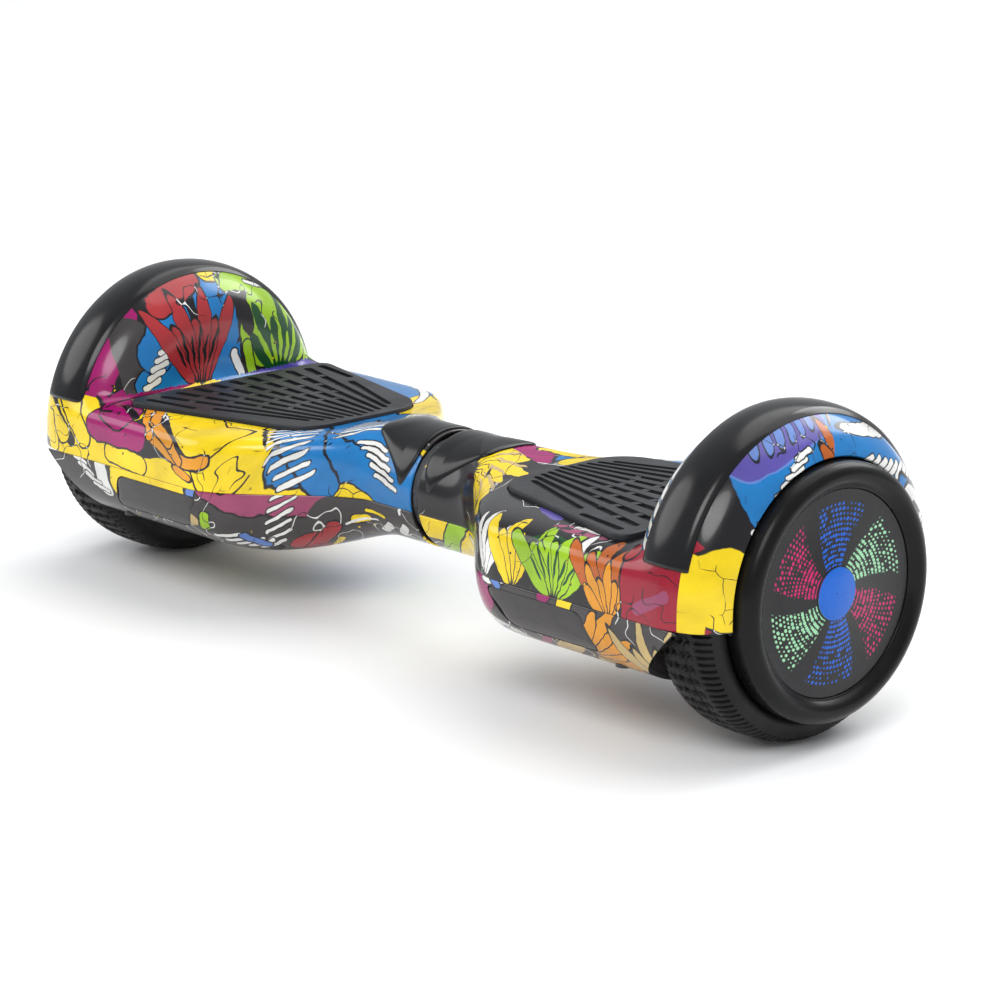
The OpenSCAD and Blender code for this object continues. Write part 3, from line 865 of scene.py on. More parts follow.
def foot_mat(side_name, side):
    """Rubber mat with long grooves that fan out and curved bars across them."""
    low, top = MAT[0][2], MAT[1][2]
    outline = mat_outline()
    height = top - low

    def place(x, y, h):
        return x, y, low + h

    steps = ((0.9, 0.0), (1.0, 0.0), (1.0, height - 1.0), (0.997, height - 0.45), (0.991, height - 0.12),
             (0.98, height), (0.5, height), (0.1, height))
    piece = patch(f"foot_mat_{side_name}_pad", outline, (150, 0), place, steps, FINISH["mat_rubber"])
    slots = [prism(stroke_outline(a, b), top - 1.7, top + 1) for a, b in GROOVES]
    for slot in slots:
        carve(piece, slot)
    for x, half, sweep, width in CHEVRONS:
        add_shape(piece, chevron(x, half, sweep, width, top - 2.4, top - 0.25))
    tidy(piece, 35)
    if side < 0:
        flip_x(piece)
    take(piece, f"foot_pad_{side_name}", "mat_rubber", f"foot_mat_{side_name}")


def tyre(side_name, side):
    """Tyre with shoulder slots and a zigzag tread."""
    inner_r, lip_r, back, lip = 63.5, 69.6, TYRE[0][0], TYRE[1][0]
    ends = [(233, inner_r), (271, inner_r), (271, lip_r), (lip - 1.5, lip_r)]
    key = [(lip - 1.5, lip_r), (lip - 0.3, 71), (lip, 73), (lip - 0.4, 75.6), (lip - 2.2, 78.4),
           (lip - 5, 80.6), (268, 82.2), (262, 82.85), (254, 83), (246, 82.85), (240, 82.0), (236, 80.4),
           (233.2, 77.8), (back + 0.2, 75.2), (back, 73), (back + 0.6, 70), (233, inner_r)]
    path = smooth_path(key, 74)
    columns = ends[:-1] + path
    turns = 992
    points = []
    for k in range(turns):
        a = 2 * math.pi * k / turns
        for x, r in columns:
            depth = tread_depth(x, r, a)
            points.append((side * x, (r - depth) * math.cos(a), AXLE_Z + (r - depth) * math.sin(a)))
    faces = grid_faces(turns, len(columns), True, True)
    piece = put(f"tyre_{side_name}_tread", points, faces, FINISH["tyre_rubber"], 28)
    take(piece, f"wheel_{side_name}", "tyre_rubber", f"tyre_{side_name}")


def smooth_path(key, count):
    """Points at even steps along a smooth curve through the given ones."""
    fine = []
    for i in range(len(key) - 1):
        p0, p1 = key[max(i - 1, 0)], key[i]
        p2, p3 = key[i + 1], key[min(i + 2, len(key) - 1)]
        for k in range(16):
            t = k / 16
            fine.append(tuple(0.5 * (2 * b + (c - a) * t + (2 * a - 5 * b + 4 * c - d) * t * t
                                     + (3 * b - a - 3 * c + d) * t**3) for a, b, c, d in zip(p0, p1, p2, p3)))
    fine.append(key[-1])
    lengths = [0.0]
    for a, b in zip(fine, fine[1:]):
        lengths.append(lengths[-1] + math.dist(a, b))
    result, i = [], 0
    for k in range(count + 1):
        want = lengths[-1] * k / count
        while i < len(fine) - 2 and lengths[i + 1] < want:
            i += 1
        t = (want - lengths[i]) / max(1e-9, lengths[i + 1] - lengths[i])
        result.append(tuple(a + (b - a) * t for a, b in zip(fine[i], fine[i + 1])))
    return result


def pulse(phase, share, edge):
    """1 inside a share of each turn of phase, falling to 0 over the edge."""
    off = abs((phase % 1.0) - 0.5)
    return 1 - ease(share / 2 - edge, share / 2 + edge, off)


def tread_depth(x, r, a):
    """How deep the tread is cut at a place on the tyre."""
    if r < 76.5:
        ring = 0.25 * (1 - ease(0, 0.6, abs(r - 74.4))) if x > 260 else 0
        return ring
    if 263.5 < x < 274.5:
        window = ease(263.5, 265, x) * (1 - ease(273, 274.5, x))
        return 1.8 * window * pulse(a * 124 / (2 * math.pi), 0.44, 0.08)
    if 234.5 < x <= 240:
        window = ease(234.5, 236, x) * (1 - ease(239, 240, x))
        return 1.3 * window * pulse(a * 124 / (2 * math.pi), 0.42, 0.12)
    if 241 < x < 262.5:
        across = (x - 241) / 21.5 * 4
        lane = int(across)
        share = across - lane
        hook = 0.34 * math.sin(math.pi * share) * (1 if lane % 2 else -1)
        phase = a * 62 / (2 * math.pi) + hook + (0.5 if lane % 2 else 0)
        window = ease(0.06, 0.2, share) * (1 - ease(0.8, 0.94, share))
        bridge = 1.9 * window * pulse(phase, 0.38, 0.07)
        seam = 0.7 * pulse(across + 0.5, 0.1, 0.04) if 0.5 < across < 3.5 else 0
        return max(bridge, seam)
    return 0.0


def hub_cap(side_name, side):
    """Domed ring round the light panel, and the panel's disc."""
    x0, x1, panel = CAP[0][0], CAP[1][0], 55.1
    key = [(x0, 0.5), (x0, 69), (286, 69), (288.2, 68.4), (290, 67), (x1 - 0.6, 65), (x1, 62.8),
           (x1 - 0.25, 60.6), (x1 - 1.2, 58.8), (x1 - 2.6, 57.2), (x1 - 3.9, 56.0), (x1 - 4.4, panel),
           (284, panel), (284, 50), (275, 50), (275, 0.5)]
    piece = lathe(f"hub_cap_{side_name}_ring", rounded(key, 0.9, 4), FINISH["cap_black"], 200, side, 24)
    take(piece, f"wheel_{side_name}", "black_trim", f"hub_cap_{side_name}")
    disc = [(284.2, 0.3), (284.2, 54.6), (286.6, 54.9), (286.9, 54.6), (286.9, 14.6), (287.1, 14.2),
            (287.8, 14), (288, 13.6), (288, 0.3)]
    panel_piece = lathe(f"led_panel_{side_name}_disc", disc, FINISH["light_panel"], 200, side, 30)
    take(panel_piece, f"wheel_{side_name}", "light_panel", f"led_panel_{side_name}")


def turned(name, centre, axis, profile, material, segments=72):
    """Turns a closed outline of (radius, height) about any line."""
    axis = Vector(axis).normalized()
    u = Vector((1, 0, 0))
    v = axis.cross(u)
    points = []
    for k in range(segments):
        a = 2 * math.pi * k / segments
        spoke = u * math.cos(a) + v * math.sin(a)
        points += [tuple(Vector(centre) + spoke * r + axis * h) for r, h in profile]
    return put(name, points, grid_faces(segments, len(profile), True, True), material, 30)


def rear_fittings():
    """Power button in its bezel, and the charging port."""
    centre, axis = rear_fitting(BUTTON_X)
    bezel = [(5.75, -6.4), (7.6, -6.4), (7.6, -1.2), (8.8, -1.2), (8.8, 0.35), (8.45, 0.85), (7.9, 1.0),
             (6.9, 1.0), (6.3, 0.8), (5.75, 0.35)]
    ring = turned("button_bezel_ring", centre, axis, bezel, FINISH["button_metal"])
    take(ring, "right_half", "button_metal", "button_bezel")
    button = [(0.02, -9), (6.9, -9), (6.9, -7), (5.5, -7), (5.5, 1.2), (5.25, 1.65), (4.8, 1.8), (4.3, 1.8),
              (4.15, 1.55), (3.75, 1.55), (3.6, 1.8), (2.0, 1.95), (0.02, 2.0)]
    cap = turned("power_button_cap", centre, axis, button, FINISH["button_metal"])
    take(cap, "power_button", "button_metal", "power_button")
    centre, axis = rear_fitting(PORT_X)
    port = [(6.4, -7), (6.4, 0.9), (6.75, 1.2), (8.1, 1.2), (8.6, 1.0), (8.8, 0.5), (8.8, -1.2), (7.6, -1.2),
            (7.6, -20), (6.05, -20), (6.05, -7)]
    socket = turned("charge_port_socket", centre, axis, port, FINISH["bright_steel"])
    take(socket, "right_half", "bright_steel", "charge_port")


def light_material():
    """Dark panel with six fans of small coloured dots and a blue disc in the middle."""
    n = Nodes("light_panel")
    ring_pitch, dots_round = 0.0027, 96
    _, y, z = n.new("SeparateXYZ", {0: n.place}).outputs
    z = n.minus(z, AXLE_Z * MM)
    radius = n.math("SQRT", n.math("ADD", n.times(y, y), n.times(z, z)))
    angle = n.math("ARCTAN2", z, y)
    twist = n.math("ADD", angle, n.times(n.minus(radius, 0.034), 7.0))
    turn = n.times(n.math("ADD", twist, math.pi), 6 / (2 * math.pi))
    share = n.math("FRACT", turn)
    blade = n.math("MINIMUM", share, n.minus(1.0, share))
    ring = n.times(radius, 1 / ring_pitch)
    count = n.math("FLOOR", ring)
    around = n.times(twist, dots_round / (2 * math.pi))
    shifted = n.math("ADD", around, n.times(n.math("MODULO", count, 2.0), 0.5))
    across = n.minus(n.math("FRACT", shifted), 0.5)
    down = n.minus(n.math("FRACT", ring), 0.5)
    wide = n.times(across, n.times(radius, 2 * math.pi / dots_round / ring_pitch))
    spot = n.math("SQRT", n.math("ADD", n.times(wide, wide), n.times(down, down)))
    cell = n.new("CombineXYZ", {0: n.math("FLOOR", shifted), 1: count})
    chance = n.new("TexWhiteNoise", {"Vector": cell.outputs[0]}).outputs["Value"]
    size = n.ramp(chance, 0.12, 1.0, 0.16, 0.4)
    dots = n.times(n.ramp(n.minus(size, spot), -0.05, 0.05), n.ramp(chance, 0.1, 0.12))
    inside = n.times(n.ramp(blade, 0.12, 0.15), n.ramp(radius, 0.0146, 0.015))
    inside = n.times(inside, n.ramp(radius, 0.0475, 0.0485, 1.0, 0.0))
    third = n.math("MODULO", n.math("FLOOR", turn), 3.0)
    colour = n.mix(n.ramp(third, 0.4, 0.6), (0.3, 0.62, 0.36), (0.012, 0.1, 0.5))
    colour = n.mix(n.ramp(third, 1.4, 1.6), colour, (0.5, 0.012, 0.13))
    disc = n.ramp(radius, 0.0138, 0.0141, 1.0, 0.0)
    colour = n.mix(disc, colour, (0.01, 0.11, 0.5))
    lit = n.most(n.times(dots, inside), disc)
    panel = n.mix(n.ramp(n.noise(40), 0.4, 0.6), (0.014, 0.014, 0.015), (0.02, 0.02, 0.021))
    n.surface(color=n.mix(lit, panel, colour), roughness=n.ramp(n.noise(80), 0.3, 0.7, 0.2, 0.34),
              glow=colour, glow_strength=n.times(lit, 0.12), specular=0.25)
    return n.material


FINISH["light_panel"] = light_material()


# ---- printed film ----
YELLOW = (0.86, 0.62, 0.004)
ORANGE = (0.72, 0.29, 0.012)
RUST = (0.45, 0.1, 0.01)
MAGENTA = (0.31, 0.002, 0.12)
MAUVE = (0.3, 0.05, 0.125)
CRIMSON = (0.3, 0.004, 0.022)
RED = (0.36, 0.025, 0.03)
BLUE = (0.008, 0.17, 0.46)
SKY = (0.1, 0.2, 0.52)
VIOLET = (0.09, 0.07, 0.33)
WHITE = (0.76, 0.76, 0.73)
INK = (0.006, 0.005, 0.007)
CHARCOAL = (0.045, 0.04, 0.04)
LIME = (0.3, 0.52, 0.008)
FOREST = (0.004, 0.06, 0.012)
SAND = (0.55, 0.4, 0.16)


class Film(Nodes):
    """One region of the printed film, painted shape by shape over a base colour, in millimetres."""

    def __init__(self, name, region, base):
        super().__init__(name)
        self.region = region
        flat = self.new("UVMap", uv_map="film").outputs[0]
        self.flat = self.new("VectorMath", {0: flat, "Scale": 1 / MM}, operation="SCALE").outputs[0]
        sway = 1.7
        wobble = self.new("TexNoise", {"Vector": self.flat, "Scale": 0.11, "Detail": 2}).outputs["Color"]
        pushed = self.vector("MULTIPLY_ADD", wobble, (2 * sway, 2 * sway, 0), self.flat)
        self.drawn = self.vector("SUBTRACT", pushed, (sway, sway, 0))
        self.colour = self.mix(0.0, base, base)

    def to_film(self, x, y):
        shift = {"front": (x, -y), "rear": (x, y), "outer": (x + FACE_SHIFT, y), "inner": (x - FACE_SHIFT, y)}
        return shift[self.region]

    def placed(self, x, y, tilt, wide, high):
        inputs = {"Vector": self.drawn, "Location": (x, y, 0), "Rotation": (0, 0, tilt),
                  "Scale": (wide, high, 1)}
        return self.new("Mapping", inputs, vector_type="TEXTURE").outputs[0]

    def lay(self, distance, stops):
        """Lays colour by distance: stops are (distance, colour or None for bare)."""
        node = self.new("ValToRGB", {0: distance})
        ramp = node.color_ramp
        while len(ramp.elements) < len(stops):
            ramp.elements.new(0.5)
        for element, (place, _) in zip(ramp.elements, stops):
            element.position = min(1.0, place)
        for element, (_, colour) in zip(ramp.elements, stops):
            last = colour or last
            element.color = (*last, 1.0 if colour else 0.0)
        self.colour = self.mix(node.outputs["Alpha"], self.colour, node.outputs["Color"])

    def disc(self, place, unit, radius, colour, ink, line):
        """A spot of colour round a place, with an ink line unless ink is 0."""
        distance = self.new("VectorMath", {0: place}, operation="LENGTH").outputs["Value"]
        soft = 0.22 / unit
        edge, ink_edge = radius / unit, (radius + ink) / unit
        stops = [(edge - soft, colour), (edge + soft, None)]
        if ink:
            stops[1:] = [(edge + soft, line), (ink_edge, line), (ink_edge + soft, None)]
        self.lay(distance, stops)

    def blob(self, x, y, rx, ry, tilt, colour, ink=0.9, line=INK):
        """Ellipse with an outline."""
        x, y = self.to_film(x, y)
        turn = math.radians(-tilt if self.region == "front" else tilt)
        size = math.sqrt(rx * ry)
        unit = 2 * (size + ink)
        self.disc(self.placed(x, y, turn, unit * rx / size, unit * ry / size), unit, size, colour, ink, line)

    def bar(self, x0, y0, x1, y1, half, colour, ink=0.9, line=INK):
        """Round-ended stroke from one place to another."""
        a, b = self.to_film(x0, y0), self.to_film(x1, y1)
        unit = 3 * (half + ink) + 2
        tilt = math.atan2(b[1] - a[1], b[0] - a[0])
        place = self.placed((a[0] + b[0]) / 2, (a[1] + b[1]) / 2, tilt, unit, unit)
        reach = self.vector("SUBTRACT", self.vector("ABSOLUTE", place), (math.dist(a, b) / 2 / unit, 0, 0))
        self.disc(self.vector("MAXIMUM", reach, (0, 0, 0)), unit, half, colour, ink, line)

    def draw(self, shapes):
        brushes = {"bar": self.bar, "blob": self.blob}
        for kind, *values in shapes:
            brushes[kind](*values)

    def done(self):
        """Adds the ink work that follows each colour, the grain of the print and the clear coat."""
        red, green, blue = self.new("SeparateColor", {0: self.colour}).outputs
        warm = self.ramp(self.minus(self.math("MINIMUM", red, green), blue), 0.4, 0.5)
        cold = self.ramp(self.minus(blue, red), 0.2, 0.3)
        light = self.ramp(blue, 0.6, 0.7)
        dark = self.ramp(self.most(self.most(red, green), blue), 0.1, 0.14, 1.0, 0.0)
        cracks = self.ramp(self.cells(0.055, "DISTANCE_TO_EDGE", self.drawn), 0.004, 0.014, 1.0, 0.0)
        where = self.ramp(self.noise(0.045, 2, 0.5, self.flat), 0.5, 0.56)
        stretched = self.placed(0, 0, math.radians(-38), 1.2, 7)
        hatch = self.ramp(self.noise(0.35, 3, 0.6, stretched), 0.68, 0.72)
        crack_mask = self.times(self.times(cracks, where), warm)
        hatch_mask = self.times(hatch, self.most(cold, self.times(light, 0.35)))
        marked = self.mix(self.most(crack_mask, hatch_mask), self.colour, INK)
        level = self.math("ABSOLUTE", self.minus(self.noise(0.05, 1, 0.5, self.flat), 0.5))
        line_patches = self.ramp(self.noise(0.021, 1, 0.5, self.flat), 0.55, 0.57)
        lines = self.times(self.ramp(level, 0.004, 0.009, 1.0, 0.0), line_patches)
        marked = self.mix(lines, marked, self.mix(dark, INK, WHITE))
        drops = self.ramp(self.cells(0.13, "F1", self.drawn), 0.09, 0.12, 1.0, 0.0)
        speck = self.times(drops, self.ramp(self.noise(0.028, 1, 0.5, self.drawn), 0.56, 0.58))
        marked = self.mix(speck, marked, self.mix(dark, INK, YELLOW))
        cloud = self.ramp(self.noise(0.03, 4, 0.55, self.flat), 0.3, 0.7, 0.74, 1.1)
        fine = self.ramp(self.noise(2.2, 2, 0.5, self.flat), 0.3, 0.7, 0.94, 1.04)
        tone = self.new("VectorMath", {0: marked, "Scale": self.times(cloud, fine)}, operation="SCALE")
        rough = self.ramp(self.noise(0.05, 4, 0.5, self.flat), 0.3, 0.7, 0.16, 0.24)
        self.surface(color=tone.outputs[0], roughness=rough, coat=0.2, coat_roughness=0.05, specular=0.34,
                     normal=self.bump(self.noise(0.4, 3, 0.5, self.flat), 0.02, 0.0006))
        return self.material


def stripes(x0, y0, x1, y1, count, reach, half=2.0):
    """Even white stripes that cross a line from one place to another."""
    shapes = []
    for k in range(count):
        t = (k + 0.5) / count
        x, y = x0 + (x1 - x0) * t, y0 + (y1 - y0) * t
        lean = reach * 0.35
        shapes.append(("bar", x - reach, y - lean, x + reach, y + lean, half, WHITE, 0.6))
    return shapes


def leaves(x0, y0, x1, y1, count, dx, dy, half, colour=WHITE):
    """A row of narrow leaves side by side."""
    shapes = []
    length, tilt = math.hypot(dx, dy), math.degrees(math.atan2(dy, dx))
    for k in range(count):
        t = k / (count - 1)
        x, y = x0 + (x1 - x0) * t + dx / 2, y0 + (y1 - y0) * t + dy / 2
        shapes.append(("blob", x, y, length / 2, half, tilt, colour, 0.8))
    return shapes


def splash(x, y, count, start, stop, near, far, half, colour, ink=0.9):
    """Petals that spread from one place, long and short by turns."""
    shapes = []
    for k in range(count):
        a = math.radians(start + (stop - start) * k / (count - 1))
        reach = near + (far - near) * (0.7 if k % 2 else 1.0)
        middle = (near + reach) / 2
        shapes.append(("blob", x + middle * math.cos(a), y + middle * math.sin(a), (reach - near) / 2, half,
                       math.degrees(a), colour, ink))
    return shapes


def zigzag(points, half, colour, ink):
    """A bent stroke through several places."""
    return [("bar", *a, *b, half, colour, ink) for a, b in zip(points, points[1:])]


UPPER = {
    ("right", "front"): (INK, [
        ("bar", 0, 96, 40, 96, 14, CHARCOAL, 0), ("bar", 2, 120, 16, 165, 16, CHARCOAL, 0),
        ("blob", 44, 104, 6, 9, 30, MAUVE, 1.0), *splash(40, 78, 7, 22, 78, 8, 78, 3.4, YELLOW, 1.0),
        *splash(40, 78, 6, 27, 73, 22, 62, 1.0, SAND, 0), ("blob", 126, 146, 17, 24, 10, INK, 0),
        *splash(120, 112, 4, 62, 104, 6, 46, 2.4, WHITE, 0.8),
        *splash(142, 112, 5, 64, 116, 4, 48, 4.2, YELLOW),
        ("bar", 134, 176, 152, 168, 3.4, VIOLET, 0.8),
        ("blob", 176, 138, 25, 24, 0, INK, 0), ("blob", 170, 136, 17, 15, 0, FOREST, 0),
        *splash(174, 112, 7, 48, 132, 5, 47, 5.0, LIME),
        *splash(174, 112, 6, 55, 125, 14, 34, 0.9, FOREST, 0),
        ("blob", 178, 160, 20, 4, 0, MAUVE, 0), ("bar", 172, 164, 200, 162, 1.4, WHITE, 0.5),
        ("blob", 192, 148, 2.6, 12, 8, WHITE, 0.8),
        *splash(214, 110, 5, 66, 126, 6, 52, 4.4, RUST), *splash(214, 110, 6, 60, 132, 4, 32, 3.2, ORANGE),
        ("bar", 246, 112, 244, 176, 21, CRIMSON, 1.0), ("bar", 224, 150, 246, 180, 5, RED, 0.9),
        ("bar", 236, 122, 254, 132, 3.2, MAUVE, 0), ("bar", 284, 100, 284, 200, 17, YELLOW, 1.2)]),
    ("right", "rear"): (BLUE, [
        ("bar", 2, 96, 40, 96, 14, CHARCOAL, 0), ("bar", 2, 120, 16, 165, 16, CHARCOAL, 0),
        ("bar", 44, 96, 58, 140, 10, MAGENTA, 1.1),
        *zigzag(((58, 100), (78, 118), (84, 150)), 8, YELLOW, 1.1),
        ("blob", 84, 128, 15, 19, 20, YELLOW, 1.1), ("bar", 100, 118, 112, 160, 8, BLUE, 1.0),
        *stripes(98, 122, 112, 156, 7, 8, 1.4), ("blob", 64, 150, 16, 9, 30, INK, 1.0, WHITE),
        ("blob", 148, 131, 32, 7, 12, WHITE, 1.2), ("blob", 152, 131, 20, 3, 12, BLUE, 0.9),
        ("bar", 122, 142, 150, 148, 2.2, WHITE, 0.9),
        ("bar", 120, 156, 168, 152, 5, INK, 0), ("bar", 124, 160, 160, 158, 1.6, SKY, 0.6),
        ("blob", 206, 140, 34, 26, 0, FOREST, 1.0), *leaves(180, 120, 232, 122, 5, 14, 30, 4.2, LIME),
        ("blob", 196, 150, 10, 4, 20, LIME, 1.0), ("blob", 222, 150, 12, 4, -20, LIME, 1.0),
        ("blob", 204, 128, 3, 7, 20, YELLOW, 0.7), ("bar", 176, 150, 186, 160, 2.0, WHITE, 0.8),
        ("bar", 262, 110, 262, 170, 20, WHITE, 1.0), *splash(264, 108, 6, 62, 118, 10, 54, 3.2, RED, 0.9),
        ("blob", 270, 172, 16, 8, 0, VIOLET, 1.0)]),
    ("right", "outer"): (INK, [
        ("blob", -88, 108, 10, 34, 8, CRIMSON, 1.0), ("bar", -84, 128, -66, 152, 5, CHARCOAL, 0),
        ("blob", -73, 97, 16.5, 21.5, 0, YELLOW, 1.2), ("bar", -92, 70, -88, 108, 8, YELLOW, 0),
        ("bar", -32, 142, -8, 158, 28, BLUE, 0.8),
        ("bar", -52, 156, 0, 172, 7, VIOLET, 0.9, SKY), *leaves(-44, 158, -6, 168, 6, 6, 10, 1.8, SKY),
        *stripes(-54, 124, -16, 160, 9, 5, 1.2), *splash(6, 136, 4, 62, 114, 6, 36, 3.6, RUST, 1.2),
        ("blob", 15, 168, 6, 4, 20, ORANGE, 1.2), ("bar", 28, 150, 96, 90, 26, BLUE, 0),
        ("blob", 38, 160, 24, 3.0, -14, WHITE, 1.4), *stripes(24, 148, 76, 130, 9, 5, 1.5),
        ("bar", 56, 131, 84, 113, 3.6, BLUE, 1.6), ("bar", 62, 122, 88, 102, 6.5, WHITE, 1.8),
        ("bar", 66, 118, 88, 98, 1.3, INK, 0), ("blob", 82, 98, 9, 6, -30, WHITE, 1.8),
        *leaves(70, 108, 90, 84, 5, 8, 4, 1.8), ("blob", 58, 160, 12, 4, -25, VIOLET, 1.0, SKY)]),
    ("right", "inner"): (INK, [
        ("bar", -80, 100, -62, 150, 14, BLUE, 1.0), *stripes(-84, 104, -62, 150, 6, 11, 2.0),
        ("blob", -40, 130, 18, 26, 20, CHARCOAL, 1.0), *splash(-40, 106, 4, 70, 112, 8, 50, 2.0, WHITE),
        *splash(2, 108, 7, 50, 130, 8, 54, 5.0, RED, 1.1),
        ("bar", -18, 112, -8, 122, 2.4, MAUVE, 0.8), ("bar", 34, 104, 30, 166, 9, YELLOW, 1.2),
        ("blob", 66, 128, 24, 34, -20, LIME, 1.2), ("blob", 62, 136, 5, 14, 0, FOREST, 0.8),
        ("blob", 76, 124, 4, 16, -10, FOREST, 0.8), ("bar", -56, 158, 20, 172, 3, VIOLET, 1.0, SKY)]),
    ("left", "front"): (YELLOW, [
        ("bar", 0, 96, 36, 100, 13, CHARCOAL, 0), ("bar", 2, 125, 14, 170, 15, CHARCOAL, 0),
        ("bar", 16, 60, 66, 100, 22, BLUE, 1.0), ("bar", 40, 90, 90, 175, 13, BLUE, 0.8),
        ("bar", 62, 64, 102, 190, 6.0, BLUE, 1.0),
        *stripes(74, 78, 94, 166, 11, 7, 1.4),
        *stripes(22, 56, 42, 82, 5, 9, 1.2), *stripes(52, 92, 66, 150, 8, 8, 1.4),
        ("bar", 168, 142, 122, 150, 15, INK, 0), ("bar", 106, 120, 128, 178, 16, YELLOW, 1.3),
        ("bar", 118, 146, 172, 182, 15, YELLOW, 1.2), ("blob", 96, 122, 6, 16, -20, YELLOW, 0),
        *zigzag(((118, 130), (140, 132), (164, 142), (188, 166)), 3.6, ORANGE, 1.2),
        *zigzag(((136, 131), (146, 140), (166, 150), (196, 184)), 3.0, ORANGE, 1.0),
        ("blob", 134, 124, 8, 2.6, 20, ORANGE, 0.9), ("bar", 172, 122, 200, 124, 5.5, YELLOW, 1.0),
        ("bar", 176, 138, 214, 138, 8.5, MAGENTA, 1.1), ("bar", 196, 150, 262, 176, 11, MAGENTA, 1.1),
        ("bar", 190, 156, 240, 164, 2.2, MAUVE, 0), ("bar", 184, 150, 206, 160, 2.4, INK, 0),
        ("bar", 208, 150, 216, 148, 1.4, INK, 0), ("bar", 226, 128, 268, 176, 6, YELLOW, 1.2),
        ("bar", 238, 124, 282, 168, 4, INK, 0), ("bar", 246, 128, 262, 140, 6, YELLOW, 1.2),
        ("bar", 256, 120, 262, 134, 5.5, YELLOW, 1.0), ("bar", 270, 134, 284, 150, 4, INK, 0)]),
    ("left", "rear"): (BLUE, [
        ("bar", 0, 96, 36, 100, 13, CHARCOAL, 0), ("bar", 2, 125, 14, 170, 15, CHARCOAL, 0),
        ("bar", 26, 60, 64, 96, 14, BLUE, 1.0), *stripes(40, 88, 72, 124, 6, 10, 1.9),
        ("bar", 78, 104, 96, 150, 12, YELLOW, 1.2), ("blob", 112, 128, 12, 15, 0, YELLOW, 1.2),
        ("bar", 124, 120, 190, 142, 15, WHITE, 1.2), *splash(150, 106, 6, 38, 128, 8, 44, 2.8, RED, 0.9),
        ("bar", 192, 118, 222, 148, 13, VIOLET, 1.0, SKY),
        *splash(206, 120, 4, 60, 120, 4, 28, 3.0, BLUE, 0.9),
        ("bar", 212, 118, 224, 130, 2.4, BLUE, 0.8, SKY),
        ("blob", 246, 138, 26, 26, 0, FOREST, 1.0), *splash(238, 112, 6, 20, 128, 6, 44, 3.2, LIME),
        ("bar", 150, 146, 190, 150, 4, INK, 0), ("bar", 96, 146, 128, 154, 3, WHITE, 1.0),
        ("bar", 50, 130, 70, 150, 4, INK, 0), ("bar", 52, 132, 70, 150, 1.2, WHITE, 0),
        ("bar", 274, 112, 276, 160, 7, INK, 0),
        ("bar", 282, 120, 282, 170, 5, SAND, 1.0)]),
    ("left", "inner"): (INK, [
        ("bar", -96, 96, -82, 112, 10, YELLOW, 1.2), ("bar", -88, 108, -56, 160, 8.5, MAGENTA, 1.0),
        ("bar", -86, 100, -66, 110, 5, MAGENTA, 1.0), ("blob", -52, 120, 16, 34, 10, CHARCOAL, 0),
        ("bar", -50, 114, -20, 114, 10, BLUE, 1.0), ("bar", -44, 132, -30, 150, 12, BLUE, 0.9),
        *stripes(-50, 112, -32, 142, 6, 5, 1.7), ("bar", 6, 106, 2, 158, 14, BLUE, 1.2),
        ("bar", -36, 158, -8, 172, 6, RED, 1.0), *splash(-14, 104, 7, 62, 122, 8, 62, 5.2, RED, 1.1),
        *splash(-14, 104, 6, 67, 117, 18, 44, 1.0, INK, 0), ("bar", 4, 172, 26, 170, 4, YELLOW, 1.0),
        ("bar", 14, 166, 34, 164, 4.5, LIME, 1.0), ("bar", 44, 136, 60, 136, 25, LIME, 1.2),
        ("bar", 36, 152, 78, 122, 9, LIME, 0), *splash(50, 100, 6, 52, 124, 8, 56, 4.6, FOREST, 0),
        *splash(50, 100, 5, 60, 116, 14, 40, 1.6, LIME, 0), ("bar", 28, 106, 24, 128, 3.0, LIME, 1.0),
        ("blob", 24, 147, 6, 14, 12, INK, 0), ("bar", 72, 108, 86, 122, 3, LIME, 0.8),
        ("bar", 34, 164, 72, 149, 0.9, WHITE, 0.6), ("bar", 18, 112, 14, 124, 2.6, WHITE, 0.9)]),
    ("left", "outer"): (INK, [
        ("bar", -92, 96, -74, 146, 14, YELLOW, 1.2), ("bar", -70, 120, -40, 158, 9, MAGENTA, 1.1),
        ("bar", -40, 146, 0, 162, 9, BLUE, 1.0), *stripes(-40, 146, 0, 160, 5, 6, 1.7),
        *splash(30, 138, 4, 60, 120, 4, 32, 3.8, RED, 1.1), ("bar", 48, 146, 84, 112, 12, WHITE, 1.2),
        *splash(58, 118, 5, 10, 100, 6, 34, 2.6, RED), *splash(82, 78, 4, 40, 110, 5, 34, 3.4, LIME, 1.0)]),
}
